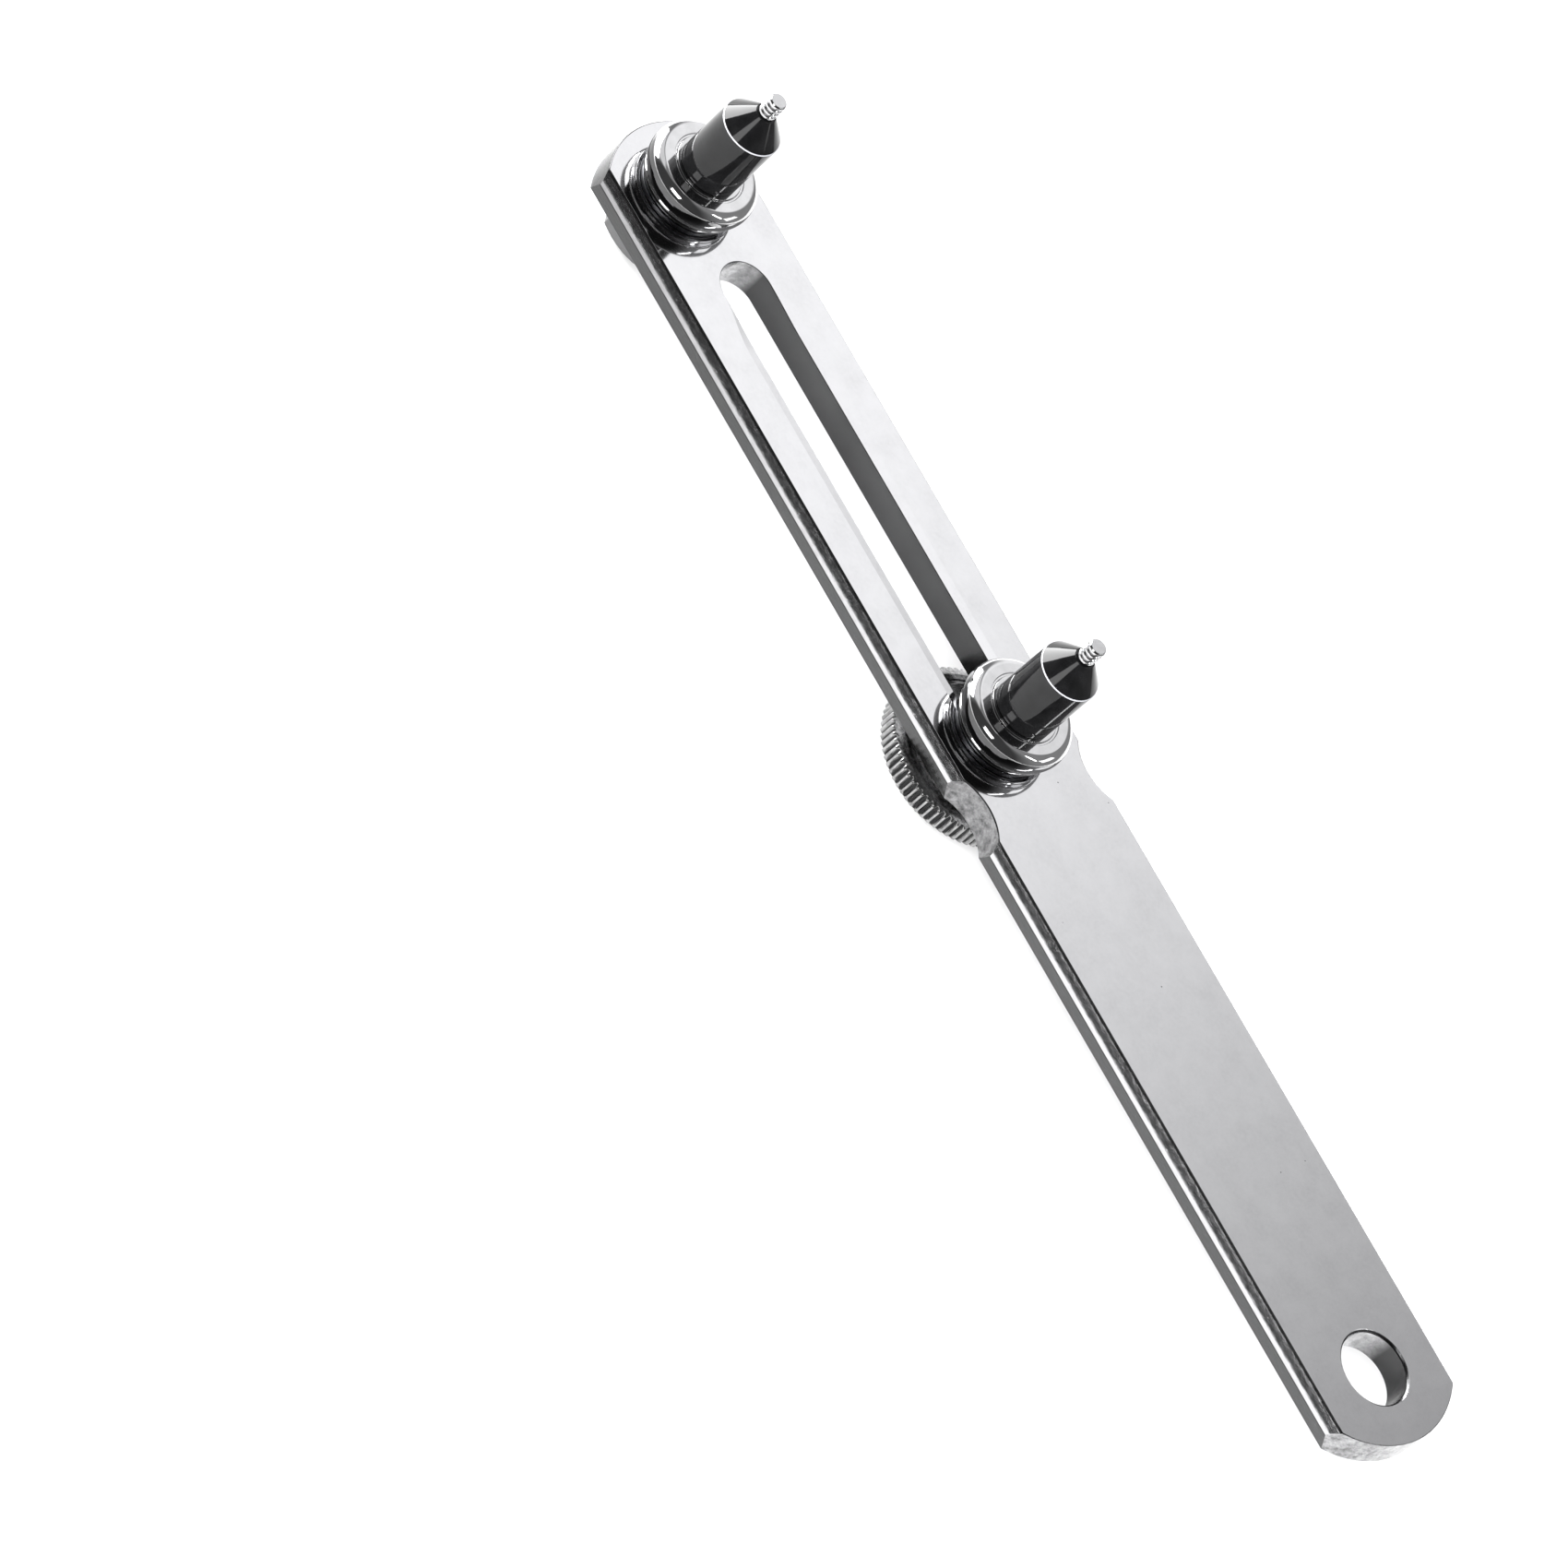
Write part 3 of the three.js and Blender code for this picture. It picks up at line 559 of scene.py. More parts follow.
def outline_points(half_width, inset):
    """Plan of the bar at one height: round ends, straight sides and a scallop in each side."""
    radius = END_RADIUS - inset
    half = half_width - inset
    scallop_radius = WAIST_RADIUS + inset
    scallop_centre = FACE_HALF_WIDTH - WAIST_DEPTH + WAIST_RADIUS
    opening = math.sqrt(scallop_radius ** 2 - (scallop_centre - half) ** 2)
    lean = math.degrees(math.asin(opening / scallop_radius))
    spread = math.degrees(math.asin(half / radius))
    tail = arc(TAIL_X - END_RADIUS, 0, radius, -spread, spread, END_STEPS)
    head = arc(HEAD_X + END_RADIUS, 0, radius, 180 - spread, 180 + spread, END_STEPS)
    top_scallop = arc(WAIST_X, scallop_centre, scallop_radius, -90 + lean, -90 - lean, SCALLOP_STEPS)
    bottom_scallop = arc(WAIST_X, -scallop_centre, scallop_radius, 90 + lean, 90 - lean, SCALLOP_STEPS)
    points = []
    parts = [tail, top_scallop, head, bottom_scallop]
    for part, following in zip(parts, parts[1:] + parts[:1]):
        points += part + stretch(part[-1], following[0])
    return points


def ground_steps():
    """Whether each step along the outline is on a round end or in a scallop."""
    side = [False] * (SIDE_STEPS + 1)
    half = [True] * END_STEPS + side + [True] * SCALLOP_STEPS + side
    return half * 2


def between(start, end, share):
    """Point at a share of the way from one point to another."""
    return start[0] + (end[0] - start[0]) * share, start[1] + (end[1] - start[1]) * share


def stretch(start, end):
    """Points between two ends of a straight side, without the ends."""
    return [between(start, end, (i + 1) / (SIDE_STEPS + 1)) for i in range(SIDE_STEPS)]


def stadium_points(start_x, end_x, half_width):
    """Slot outline with round ends."""
    points = arc(end_x, 0, half_width, -90, 90, SLOT_END_STEPS)
    points += stretch(points[-1], (start_x, half_width))
    points += arc(start_x, 0, half_width, 90, 270, SLOT_END_STEPS)
    points += stretch(points[-1], (end_x, -half_width))
    return points


def bar_levels():
    """(half width, inset, z) of the side's outline from the face down to the back.

    The upper flank bows out from the face's edge to the ridge, and the lower flank leans back in."""
    bulge = RIDGE_HALF_WIDTH - FACE_HALF_WIDTH
    ridge_z = FACE_Z - RIDGE_DEPTH
    levels = []
    for step in range(FILLET_STEPS + 1):
        angle = math.pi / 2 * step / FILLET_STEPS
        rise = FACE_FILLET * math.cos(angle)
        levels.append((FACE_HALF_WIDTH, FACE_FILLET * (1 - math.sin(angle)), FACE_Z - FACE_FILLET + rise))
    for step in range(1, UPPER_FLANK_STEPS + 1):
        t = step / UPPER_FLANK_STEPS
        width = FACE_HALF_WIDTH + bulge * math.sin(math.pi / 2 * t)
        levels.append((width, 0, FACE_Z - FACE_FILLET - (RIDGE_DEPTH - FACE_FILLET) * t))
    for step in range(1, LOWER_FLANK_STEPS + 1):
        t = step / LOWER_FLANK_STEPS
        levels.append((RIDGE_HALF_WIDTH - bulge * t, 0, ridge_z + (BACK_Z + FACE_FILLET - ridge_z) * t))
    for step in range(1, FILLET_STEPS + 1):
        angle = math.pi / 2 * step / FILLET_STEPS
        inset = FACE_FILLET * (1 - math.cos(angle))
        levels.append((FACE_HALF_WIDTH, inset, BACK_Z + FACE_FILLET * (1 - math.sin(angle))))
    return levels


# Vertex colours that tell the bar's material how each face is finished, and which painted shade and light
# it gets.
PLAIN_FINISH = (0, 0, 0, 1)
HOLE_FINISH_AND_SHADE = (1, 0, 0, 1)
END_FINISH_AND_SHADE = (0, 1, 0, 1)
POCKET_FINISH = (0, 0, 1, 1)


def hole_wall(bm, finishes_and_shades, outlines):
    """Wall of a hole, from its (points, z) at one end to its (points, z) at the other.

    z is one height, or a height for each point. The loops at both ends are given back."""
    loops = []
    for points, z in outlines:
        heights = z if isinstance(z, list) else [z] * len(points)
        loops.append([bm.verts.new((x, y, height)) for (x, y), height in zip(points, heights)])
    for upper, lower in zip(loops, loops[1:]):
        for face in bridge(bm, upper, lower):
            face.normal_update()
            # Walls get the holes' rougher surface with its painted shade and light; bevels stay plain.
            if abs(face.normal.z) < BEVEL_NORMAL:
                finishes_and_shades[face] = HOLE_FINISH_AND_SHADE
    return loops[0], loops[-1]


def round_hole(bm, finishes_and_shades, x, radius, bevel):
    """Round hole with a small bevel at both ends."""
    def circle(size):
        return full_circle(x, size, HOLE_STEPS)
    return hole_wall(bm, finishes_and_shades, [
        (circle(radius + bevel), FACE_Z),
        (circle(radius + bevel * 0.35), FACE_Z - bevel * 0.45),
        (circle(radius), FACE_Z - bevel * 1.2),
        (circle(radius), BACK_Z + bevel * 1.2),
        (circle(radius + bevel * 0.35), BACK_Z + bevel * 0.45),
        (circle(radius + bevel), BACK_Z),
    ])


def slot_hole(bm, finishes_and_shades):
    """Slot with a shallow bevel, which fades out along the sides towards the head's end."""
    lip = 0.05
    wall = stadium_points(SLOT_HEAD_X, SLOT_TAIL_X, SLOT_HALF_WIDTH)
    edge = stadium_points(SLOT_HEAD_X, SLOT_TAIL_X, SLOT_HALF_WIDTH + lip)
    narrow = stadium_points(SLOT_HEAD_X, SLOT_TAIL_X, SLOT_HALF_WIDTH + 2 * lip)
    wide = stadium_points(SLOT_HEAD_X, SLOT_TAIL_X, SLOT_HALF_WIDTH + SLOT_BEVEL_WIDTH)
    bevel = []
    for inner, outer in zip(narrow, wide):
        past_end = (inner[0] - SLOT_HEAD_X) / SLOT_BEVEL_FADE
        bevel.append(between(inner, outer, smoothstep(past_end)))
    slope = SLOT_BEVEL_DEPTH / SLOT_BEVEL_WIDTH
    edge_z = [FACE_Z - slope * math.dist(outer, inner) for outer, inner in zip(bevel, edge)]
    return hole_wall(bm, finishes_and_shades, [
        (bevel, FACE_Z),
        (edge, edge_z),
        (wall, [z - 2 * lip for z in edge_z]),
        (wall, BACK_Z + lip),
        (edge, BACK_Z),
    ])


def pocket(bm, finishes_and_shades):
    """Blind pocket in the back, with leaning walls and a rounded foot."""
    def stadium(inward):
        return stadium_points(POCKET_START_X, POCKET_END_X, POCKET_HALF_WIDTH - inward)
    floor_z = BACK_Z + POCKET_DEPTH
    outlines = [(stadium(-POCKET_BEVEL), BACK_Z), (stadium(0.0), BACK_Z + POCKET_BEVEL)]
    for step in range(POCKET_FOOT_STEPS + 1):
        angle = math.pi / 2 * step / POCKET_FOOT_STEPS
        inward = POCKET_LEAN + POCKET_FOOT * math.sin(angle)
        outlines.append((stadium(inward), floor_z - POCKET_FOOT * math.cos(angle)))
    mouth, floor = hole_wall(bm, finishes_and_shades, outlines)
    for face in fill_between(bm, [floor]):
        finishes_and_shades[face] = POCKET_FINISH
    return mouth


def build_bar():
    """Bar with its slot, two round holes and pocket.

    The rounded edge of the face takes the holes' painted shade and rougher surface, which draws a dark
    line round the face."""
    bm = bmesh.new()
    finishes_and_shades = {}
    outer = [loop_of(bm, outline_points(width, inset), z) for width, inset, z in bar_levels()]
    for row, (upper, lower) in enumerate(zip(outer, outer[1:])):
        for face, ground in zip(bridge(bm, upper, lower), ground_steps()):
            # Painted shade on the face's rounded edge, as a dark line round the face.
            if row < FILLET_STEPS:
                finishes_and_shades[face] = HOLE_FINISH_AND_SHADE
            # Round ends and scallops: ground surface with painted shade.
            elif ground:
                finishes_and_shades[face] = END_FINISH_AND_SHADE
    holes = [
        slot_hole(bm, finishes_and_shades),
        round_hole(bm, finishes_and_shades, FIXED_X, SLOT_HALF_WIDTH, FACE_FILLET),
        round_hole(bm, finishes_and_shades, HANG_HOLE_X, HANG_HOLE_RADIUS, HANG_HOLE_BEVEL),
    ]
    fill_between(bm, [outer[0]] + [face_loop for face_loop, _ in holes])
    fill_between(bm, [outer[-1], pocket(bm, finishes_and_shades)] + [back_loop for _, back_loop in holes])
    paint(bm, "finish_and_shade", finishes_and_shades, PLAIN_FINISH)
    new_object("bar", bm, BAR, "handle", "handle_bar")


build_bar()


# ---- The sockets ----

COLLAR_TOP_Z = FACE_Z + 3.66
COLLAR_FOOT_Z = FACE_Z + 0.65
BULGE_ROUNDING = 9.0
SHOULDER_RADIUS = 3.0
THREAD_RADIUS = 2.5
THREAD_PITCH = 0.8
THREAD_DEPTH = 0.28
STOP_GROOVE_RADIUS = 2.1
STOP_RING_RADIUS = 3.5
END_CHAMFER = 0.3
WASHER_HOLE_RADIUS = 2.65
WASHER_ROUNDING = 0.1
OPEN_RING_ROUNDING = 0.06
OPEN_RING_STEPS = 96
BORE_RADIUS = 2.05
BORE_BOTTOM_Z = FACE_Z - 2.6
SHOULDER_END_Z = BACK_Z + 0.05


def collar_corners():
    """Outside of the collar from its foot to the ring round the pin, as (radius, z, rounding)."""
    return [
        (5.42, COLLAR_FOOT_Z, 0.06),
        (5.46, COLLAR_FOOT_Z + 0.34, 0.12),
        (5.28, COLLAR_FOOT_Z + 0.5, 0.08),
        (5.66, COLLAR_FOOT_Z + 0.78, BULGE_ROUNDING),
        (5.86, COLLAR_FOOT_Z + 1.55, BULGE_ROUNDING),
        (5.76, COLLAR_TOP_Z - 0.65, BULGE_ROUNDING),
        (5.36, COLLAR_TOP_Z - 0.21, BULGE_ROUNDING),
        (4.98, COLLAR_TOP_Z, BULGE_ROUNDING),
        (3.86, COLLAR_TOP_Z, 0.02),
        (3.80, COLLAR_TOP_Z - 0.14, 0.02),
        (3.62, COLLAR_TOP_Z - 0.14, 0.02),
        (3.55, COLLAR_TOP_Z + 0.04, 0.04),
        (BORE_RADIUS + 0.2, COLLAR_TOP_Z + 0.04, 0.05),
        (BORE_RADIUS, COLLAR_TOP_Z - 0.2, 0.05),
    ]


def thread_points(bottom, top):
    """Roots and flat crests of the thread, from the bottom up."""
    root = THREAD_RADIUS - THREAD_DEPTH
    turns = int((top - bottom) / THREAD_PITCH)
    points = []
    for turn in range(turns):
        low = bottom + turn * THREAD_PITCH
        points.append((root, low))
        points.append((THREAD_RADIUS, low + THREAD_PITCH * 0.4))
        points.append((THREAD_RADIUS, low + THREAD_PITCH * 0.6))
    points.append((root, bottom + turns * THREAD_PITCH))
    return points


def build_socket(name, node, body, x, stop_groove=None):
    """Collar, shoulder and threaded stud, with a groove near the stud's end if one is given."""
    low, _ = box_mm(node)
    thread_start = low.z + 0.25
    profile = [(0, low.z), (THREAD_RADIUS - END_CHAMFER, low.z)]
    if stop_groove is not None:
        groove_low, groove_high = stop_groove
        thread_start = groove_high + 0.1
        profile += [(THREAD_RADIUS, low.z + 0.1), (THREAD_RADIUS, groove_low)]
        profile += [(STOP_GROOVE_RADIUS, groove_low), (STOP_GROOVE_RADIUS, groove_high)]
        profile += [(THREAD_RADIUS, groove_high)]
    profile += thread_points(thread_start, SHOULDER_END_Z - END_CHAMFER)
    profile += [(THREAD_RADIUS - 0.2, SHOULDER_END_Z), (SHOULDER_RADIUS, SHOULDER_END_Z)]
    outer = [(SHOULDER_RADIUS, SHOULDER_END_Z + 0.1), (SHOULDER_RADIUS, COLLAR_FOOT_Z)] + collar_corners()
    profile += rounded(outer, 0.05)
    profile += [(BORE_RADIUS, BORE_BOTTOM_Z), (0, BORE_BOTTOM_Z - 0.6)]
    new_object(name, turned(profile, x), CHROME, body, node)


def build_ring(name, node, body, x, inner, material):
    """Flat washer that fills its CAD node's box."""
    low, high = box_mm(node)
    outer = (high.x - low.x) / 2
    profile = rounded_ring(inner, outer, low.z, high.z, WASHER_ROUNDING)
    new_object(name, turned(profile, x), material, body, node)


def open_ring(inner, outer, bottom, top, x, gap, turn):
    """Ring with a gap of so many degrees, whose middle is turned from +X by so many degrees."""
    profile = rounded_ring(inner, outer, bottom, top, OPEN_RING_ROUNDING)[:-1]
    bm = bmesh.new()
    sections = []
    for step in range(OPEN_RING_STEPS + 1):
        angle = math.radians(turn + gap / 2 + (360 - gap) * step / OPEN_RING_STEPS)
        cosine, sine = math.cos(angle), math.sin(angle)
        sections.append([bm.verts.new((x + r * cosine, r * sine, z)) for r, z in profile])
    for first, second in zip(sections, sections[1:]):
        bridge(bm, first, second)
    bm.faces.new(sections[0])
    bm.faces.new(sections[-1])
    return bm


def build_sockets():
    """Both sockets with their base washers, and the open ring on the sliding one's stud."""
    stop_low, stop_high = box_mm("stud_stop_ring")
    groove = (stop_low.z - CLEARANCE, stop_high.z + CLEARANCE)
    build_socket("fixed_socket", "head_socket", "handle", FIXED_X)
    build_socket("sliding_socket", "slider_socket", "slider", SLIDING_X, groove)
    for name, node, body, x in (
        ("fixed_base_washer", "head_base_washer", "handle", FIXED_X),
        ("sliding_base_washer", "slider_base_washer", "slider", SLIDING_X),
    ):
        build_ring(name, node, body, x, SLOT_HALF_WIDTH + 0.1, SPRING)
    inner = STOP_GROOVE_RADIUS + CLEARANCE
    stop = open_ring(inner, STOP_RING_RADIUS, stop_low.z, stop_high.z, SLIDING_X, gap=44, turn=0)
    new_object("stud_ring", stop, SPRING, "slider", "stud_stop_ring")


# ---- The exchangeable pins ----

PIN_RADIUS = 3.2
SHANK_RADIUS = 2.0
CONE_TOP_RADIUS = 1.08
SNAP_GROOVE_RADIUS = 1.55
SNAP_RING_RADIUS = BORE_RADIUS - 0.03
STEM_RADIUS = 0.62
TIP_RINGS = 4
TIP_STEPS = 96


def build_pin(prefix, body, x):
    """Pin with a conical end and a grooved shank, its snap ring and its tip."""
    low, high = box_mm(prefix)
    ring_low, ring_high = box_mm(prefix + "_snap_ring")
    tip_low, tip_high = box_mm(prefix + "_tip")
    seat = COLLAR_TOP_Z + CLEARANCE
    groove_low = ring_low.z - CLEARANCE
    groove_high = ring_high.z + CLEARANCE
    corners = [
        (0, low.z),
        (SHANK_RADIUS, low.z, 0.3),
        (SHANK_RADIUS, groove_low, 0.05),
        (SNAP_GROOVE_RADIUS, groove_low, 0.05),
        (SNAP_GROOVE_RADIUS, groove_high, 0.05),
        (SHANK_RADIUS, groove_high, 0.05),
        (SHANK_RADIUS, seat, 0.05),
        (PIN_RADIUS, seat, 0.12),
        (PIN_RADIUS, PIN_SHOULDER_Z - 0.05, 0.04),
        (PIN_RADIUS - 0.1, PIN_SHOULDER_Z + 0.06, 0.05),
        (CONE_TOP_RADIUS, high.z, 0.1),
        (STEM_RADIUS + 0.03, high.z, 0.03),
        (STEM_RADIUS + 0.03, tip_low.z - 0.04, 0.02),
        (0, tip_low.z - 0.04),
    ]
    pin = turned(rounded(corners, 0.1), x)
    new_object(prefix + "_body", pin, BLACK, body, prefix)
    build_tip(prefix, body, x, high.z, tip_low, tip_high)
    inner = SNAP_GROOVE_RADIUS + CLEARANCE
    snap = open_ring(inner, SNAP_RING_RADIUS, ring_low.z, ring_high.z, x, gap=40, turn=0)
    new_object(prefix + "_ring", snap, SPRING, body, prefix + "_snap_ring")


def build_tip(prefix, body, x, seat, low, high):
    """Nub with turned rings and a slightly domed end, on a stem inside the pin."""
    radius = (high.x - low.x) / 2
    neck = radius - 0.2
    base = seat + CLEARANCE
    pitch = (high.z - base) / TIP_RINGS
    corners = [(0, low.z), (STEM_RADIUS, low.z, 0.05), (STEM_RADIUS, base, 0.02)]
    for ring in range(TIP_RINGS):
        start = base + pitch * ring
        corners.append((neck, start + 0.02, 0.03))
        corners.append((radius, start + pitch * 0.25, 0.07))
        corners.append((radius, start + pitch * 0.72, 0.07))
        corners.append((neck, start + pitch * 0.95, 0.03))
    corners[-1] = (radius * 0.86, high.z, 0.08)
    corners.append((0, high.z))
    nub = turned(rounded(corners, 0.05), x, TIP_STEPS)
    new_object(prefix + "_nub", nub, TIP, body, prefix + "_tip")


# ---- The thumb nut and its stack ----

KNURL_COUNT = 76
KNURL_DEPTH = 0.34
KNURL_SAMPLES = 8
VALLEY_FADE = 0.1
FOOT_STEPS = 5
CROWN_STEPS = 6
THREAD_HOLE_RADIUS = 2.55
COUNTERBORE_RADIUS = 4.4


def knurl_radius(outer, index):
    """Radius at one of the samples of a tooth, and how deep in the valley that is, from 0 to 1."""
    phase = (index % KNURL_SAMPLES) / KNURL_SAMPLES
    depth = smoothstep(0.5 - 0.5 * math.cos(2 * math.pi * phase))
    return outer - KNURL_DEPTH * depth, depth


def nut_levels(low, high, outer):
    """(largest radius, z) from the bottom face's edge to the top face's edge."""
    foot_width = 0.5
    foot_height = 0.35
    crown_width = 1.05
    crown_height = 0.62
    levels = [(outer - foot_width, low)]
    for step in range(1, FOOT_STEPS + 1):
        t = step / FOOT_STEPS
        levels.append((outer - foot_width * (1 - math.sin(math.pi / 2 * t)), low + foot_height * t))
    levels.append((outer, (low + high) / 2))
    for step in range(CROWN_STEPS + 1):
        t = step / CROWN_STEPS
        levels.append((outer - crown_width * t ** 1.6, high - crown_height * (1 - t)))
    return levels


def build_thumb_nut():
    """Knurled wheel, with a vertex colour that says how deep in a valley it is, for the shade painted in
    the valleys.
    """
    low, high = box_mm("thumb_nut")
    outer = (high.x - low.x) / 2
    count = KNURL_COUNT * KNURL_SAMPLES
    bm = bmesh.new()
    valley = bm.loops.layers.color.new("valley")
    depths = {}

    def smooth_ring(radius, z):
        return loop_of(bm, full_circle(SLIDING_X, radius, count), z)

    def knurled_ring(limit, z):
        ring = []
        for index in range(count):
            radius, depth = knurl_radius(outer, index)
            angle = 2 * math.pi * index / count
            size = min(radius, limit)
            vertex = bm.verts.new((SLIDING_X + size * math.cos(angle), size * math.sin(angle), z))
            depths[vertex] = depth * smoothstep((limit - size) / VALLEY_FADE)
            ring.append(vertex)
        return ring

    counterbore_z = low.z + 0.7
    inside = [
        (THREAD_HOLE_RADIUS, high.z - 0.2),
        (THREAD_HOLE_RADIUS, counterbore_z),
        (COUNTERBORE_RADIUS, counterbore_z),
        (COUNTERBORE_RADIUS, low.z),
        (outer - 0.9, low.z),
    ]
    top = [(outer - 1.6, high.z), (outer - 1.75, high.z - 0.1), (THREAD_HOLE_RADIUS + 0.2, high.z - 0.1)]
    rings = [smooth_ring(radius, z) for radius, z in inside]
    rings += [knurled_ring(limit, z) for limit, z in nut_levels(low.z, high.z, outer)]
    rings += [smooth_ring(radius, z) for radius, z in top]
    for first, second in zip(rings, rings[1:] + rings[:1]):
        bridge(bm, first, second)
    for face in bm.faces:
        for corner in face.loops:
            corner[valley] = (depths.get(corner.vert, 0), 0, 0, 1)
    new_object("thumb_wheel", bm, KNURL, "thumb_knob", "thumb_nut")


def build_cap():
    """Step ring and polished cap on the thumb nut."""
    ring_low, ring_high = box_mm("thumb_ring")
    cap_low, cap_high = box_mm("thumb_cap")
    ring_outer = (ring_high.x - ring_low.x) / 2
    cap_outer = (cap_high.x - cap_low.x) / 2
    ring = rounded_ring(cap_outer + CLEARANCE, ring_outer, ring_low.z, ring_high.z, 0.14)
    new_object("cap_step", turned(ring, SLIDING_X), CAP, "thumb_knob", "thumb_ring")
    hollow_z = cap_low.z + 0.75
    corners = [
        (0, cap_low.z),
        (cap_outer - 1.1, cap_low.z, 1.5),
        (cap_outer, cap_low.z + 0.55, 0.35),
        (cap_outer, cap_high.z, 0.05),
        (COUNTERBORE_RADIUS, cap_high.z, 0.05),
        (COUNTERBORE_RADIUS, hollow_z, 0.1),
        (0, hollow_z),
    ]
    cap = turned(rounded(corners, 0.1, 8), SLIDING_X)
    new_object("cap", cap, CAP, "thumb_knob", "thumb_cap")


def build_disc_spring():
    """Conical washer of thin sheet, highest at its outer edge."""
    low, high = box_mm("disc_spring")
    outer = (high.x - low.x) / 2
    hole = WASHER_HOLE_RADIUS
    sheet = 0.15
    start = ((hole + outer) / 2, (low.z + high.z - sheet) / 2)
    rim = [(outer, high.z - sheet), (outer, high.z)]
    mouth = [(hole, low.z + sheet), (hole, low.z)]
    disc = turned(rounded([start] + rim + mouth + [start], 0.05), SLIDING_X)
    new_object("spring_disc", disc, SPRING, "clamp_stack", "disc_spring")


def build_clamp():
    """Everything that clamps the sliding socket to the bar from behind."""
    build_thumb_nut()
    build_cap()
    build_disc_spring()
    hole = WASHER_HOLE_RADIUS
    build_ring("clamp_plate", "clamp_washer", "clamp_stack", SLIDING_X, hole, BRIGHT)


# ---- The fastening of the fixed socket ----

HEX_NUT_WIDTH = 8.2
HEX_NUT_CORNER_DEGREES = -112
HEX_NUT_STEPS = 144


def build_hex_nut():
    """Hexagon nut whose corners are turned down by a cone at both ends."""
    low, high = box_mm("head_hex_nut")
    flat = HEX_NUT_WIDTH / 2
    corner_angle = math.radians(HEX_NUT_CORNER_DEGREES)
    bm = bmesh.new()

    def hexagon_radius(angle):
        off_flat = (angle - corner_angle) % (math.pi / 3) - math.pi / 6
        return flat / math.cos(off_flat)

    def ring(limit, z):
        points = []
        for index in range(HEX_NUT_STEPS):
            angle = corner_angle + 2 * math.pi * index / HEX_NUT_STEPS
            radius = min(hexagon_radius(angle), limit)
            points.append((FIXED_X + radius * math.cos(angle), radius * math.sin(angle)))
        return loop_of(bm, points, z)

    cone_width = 0.72
    cone_height = 0.42
    shares = (0, 0.2, 0.4, 0.6, 0.8, 1)
    levels = [(flat - 0.05 + cone_width * t, low.z + cone_height * t) for t in shares]
    levels += [(limit, low.z + high.z - z) for limit, z in reversed(levels)]
    rings = [ring(THREAD_HOLE_RADIUS, high.z - 0.35), ring(THREAD_HOLE_RADIUS, low.z + 0.35)]
    rings += [ring(THREAD_HOLE_RADIUS + 0.35, low.z)]
    rings += [ring(limit, z) for limit, z in levels]
    rings += [ring(THREAD_HOLE_RADIUS + 0.35, high.z)]
    for first, second in zip(rings, rings[1:] + rings[:1]):
        bridge(bm, first, second)
    new_object("hex_nut", bm, NUT, "handle", "head_hex_nut")


def build_head_fastening():
    """Flat washer, split spring washer and nut on the fixed socket's stud."""
    build_hex_nut()
    hole = WASHER_HOLE_RADIUS
    build_ring("flat_washer", "head_flat_washer", "handle", FIXED_X, hole, BRIGHT)
    low, high = box_mm("head_lock_washer")
    outer = (high.x - low.x) / 2
    split = open_ring(hole, outer, low.z, high.z, FIXED_X, gap=11, turn=200)
    new_object("lock_washer", split, SPRING, "handle", "head_lock_washer")


build_sockets()
build_pin("fixed_pin", "fixed_bit", FIXED_X)
build_pin("sliding_pin", "sliding_bit", SLIDING_X)
build_clamp()
build_head_fastening()


# ---- Camera, floor and light ----

# Chosen so that the tool lies in the picture as it lies in the photograph.
CAMERA_POSITION = Vector((139.07, -555.39, 537.20))
CAMERA_FORWARD = Vector((-0.191273, 0.693055, -0.695047)).normalized()
CAMERA_UP = Vector((-0.850832, 0.235992, 0.469460))
FOCAL_LENGTH = 193.7
SENSOR_WIDTH = 36
FLOOR_SIZE = 2.0


def build_camera():
    """Long lens that looks down along the bar's side, rolled so that the bar lies diagonally."""
    data = bpy.data.cameras.new("camera")
    data.sensor_width = SENSOR_WIDTH
    data.lens = FOCAL_LENGTH
    data.clip_start = 0.01
    data.clip_end = 10
    camera = bpy.data.objects.new("camera", data)
    bpy.context.scene.collection.objects.link(camera)
    right = CAMERA_FORWARD.cross(CAMERA_UP).normalized()
    axes = Matrix((right, right.cross(CAMERA_FORWARD), -CAMERA_FORWARD)).transposed()
    camera.matrix_world = Matrix.Translation(CAMERA_POSITION * MM) @ axes.to_4x4()
    bpy.context.scene.camera = camera


def build_floor():
    """Plain card that the tool stands on."""
    bm = bmesh.new()
    bmesh.ops.create_grid(bm, x_segments=1, y_segments=1, size=FLOOR_SIZE)
    mesh = bpy.data.meshes.new("floor")
    bm.to_mesh(mesh)
    bm.free()
    floor = bpy.data.objects.new("floor", mesh)
    floor.data.materials.append(floor_paper())
    bpy.context.scene.collection.objects.link(floor)


def direction(turn, elevation):
    """Unit vector at an angle turned from +Y towards -X, and raised above the floor, in degrees."""
    turn, elevation = math.radians(turn), math.radians(elevation)
    level = math.cos(elevation)
    return Vector((-math.sin(turn) * level, math.cos(turn) * level, math.sin(elevation)))


def softbox(name, towards, distance, size, watts, mirrored=True):
    """Rectangular area light that shines on the middle of the bar.

    A light that isn't mirrored lights the scene but doesn't show in polished surfaces."""
    data = bpy.data.lights.new(name, "AREA")
    data.shape = "RECTANGLE"
    data.size, data.size_y = size
    data.energy = watts
    light = bpy.data.objects.new(name, data)
    bpy.context.scene.collection.objects.link(light)
    light.location = towards * distance
    light.rotation_mode = "QUATERNION"
    light.rotation_quaternion = (-towards).to_track_quat("-Z", "Y")
    light.visible_glossy = mirrored


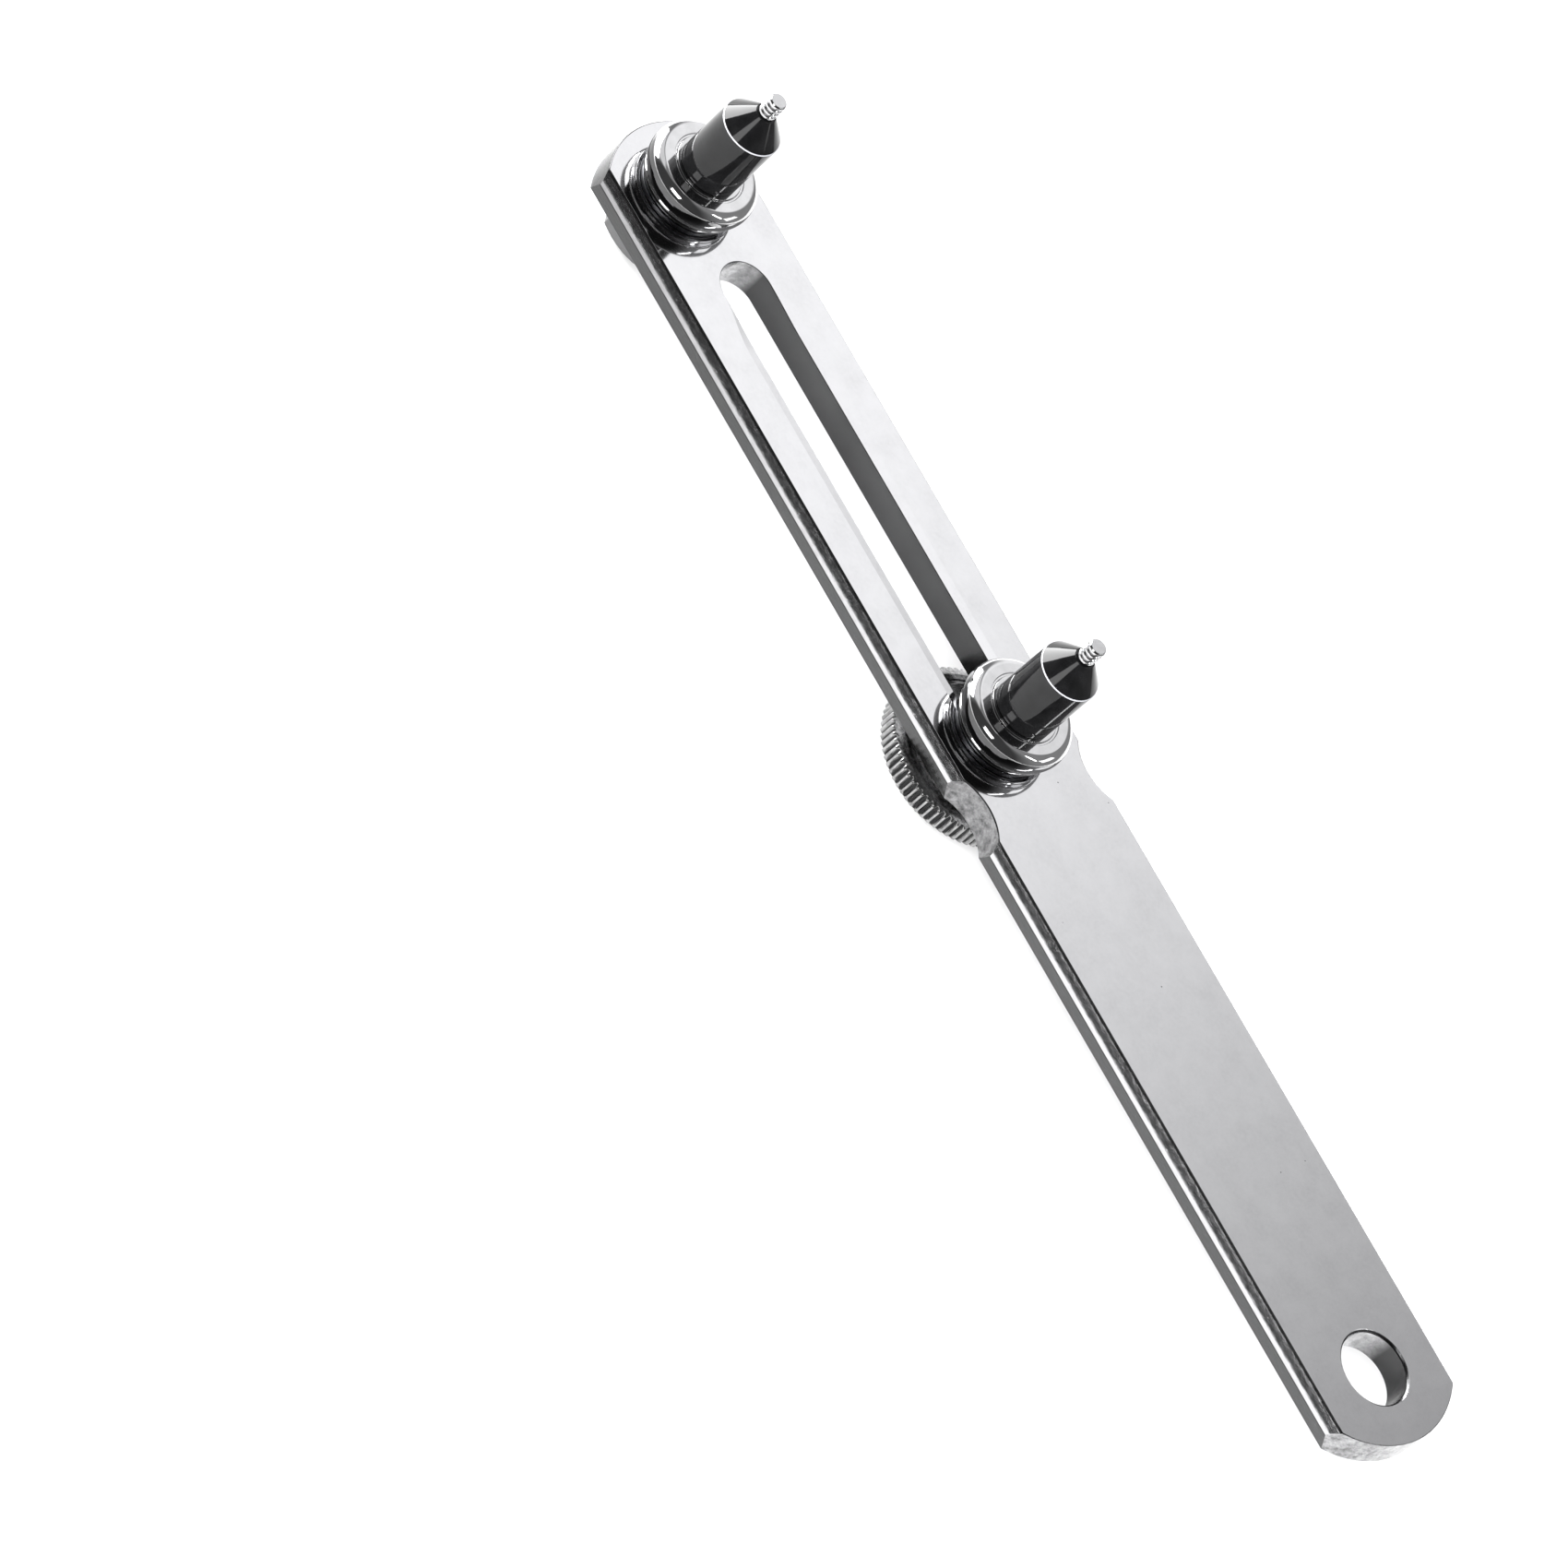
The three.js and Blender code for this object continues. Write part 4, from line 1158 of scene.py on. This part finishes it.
def build_world():
    """Surroundings by turn and rise in degrees, as in direction(): a white band past the bar's far
    side, a bright panel over its head, and dark towards the viewer and overhead."""
    world = bpy.data.worlds.new("studio")
    world.use_nodes = True
    nodes = Tree(world.node_tree)
    background = world.node_tree.nodes["Background"]

    def step(value, low, high, at_low, at_high):
        return nodes.ramp(value, low, high, at_low, at_high, "SMOOTHSTEP")

    split = nodes.add("SeparateXYZ")
    nodes.link(nodes.add("TexCoord").outputs["Generated"], split.inputs["Vector"])
    towards_head = nodes.times(split.outputs["X"], -1)
    turn = nodes.times(nodes.math("ARCTAN2", towards_head, split.outputs["Y"]), 180 / math.pi)
    rise = nodes.times(nodes.math("ARCSINE", split.outputs["Z"]), 180 / math.pi)

    level = nodes.times(step(turn, 3, 18.5, 0.35, 1.46), step(turn, 32, 50, 1, 0.22))
    panel = nodes.times(step(turn, 45, 60, 0, 1.1), step(turn, 105, 125, 1, 0))
    panel = nodes.times(panel, nodes.times(step(rise, 24, 34, 0, 1), step(rise, 58, 68, 1, 0)))
    level = nodes.math("MAXIMUM", level, panel)
    for fade in (
        step(turn, 105, 130, 1, 0.15),
        step(turn, -125, -60, 0.1, 1),
        step(rise, 75, 85, 1, 0.25),
    ):
        level = nodes.times(level, fade)
    nodes.link(nodes.math("MAXIMUM", level, 0.07), background.inputs["Strength"])
    background.inputs["Color"].default_value = (0.99, 0.99, 1.0, 1)
    bpy.context.scene.world = world


def build_lights():
    """Two big lights from the viewer's side for the floor, and four that show in the metal."""
    far, near = 1.2, 0.8
    softbox("key", direction(195, 44), far, size=(1.1, 0.9), watts=22, mirrored=False)
    softbox("low_fill", direction(195, 18), far, size=(1.1, 0.4), watts=16, mirrored=False)
    softbox("head_side", direction(88, 16), near, size=(0.7, 0.38), watts=15)
    softbox("viewer_side", direction(184, 43), near, size=(0.28, 0.2), watts=0.9)
    softbox("tail_side", direction(-48, 28), near, size=(0.32, 0.2), watts=0.4)
    softbox("tail_strip", direction(-66, 46), near, size=(0.05, 0.3), watts=0.57)


build_camera()
build_floor()
build_world()
build_lights()
bpy.context.scene.view_settings.view_transform = "Standard"
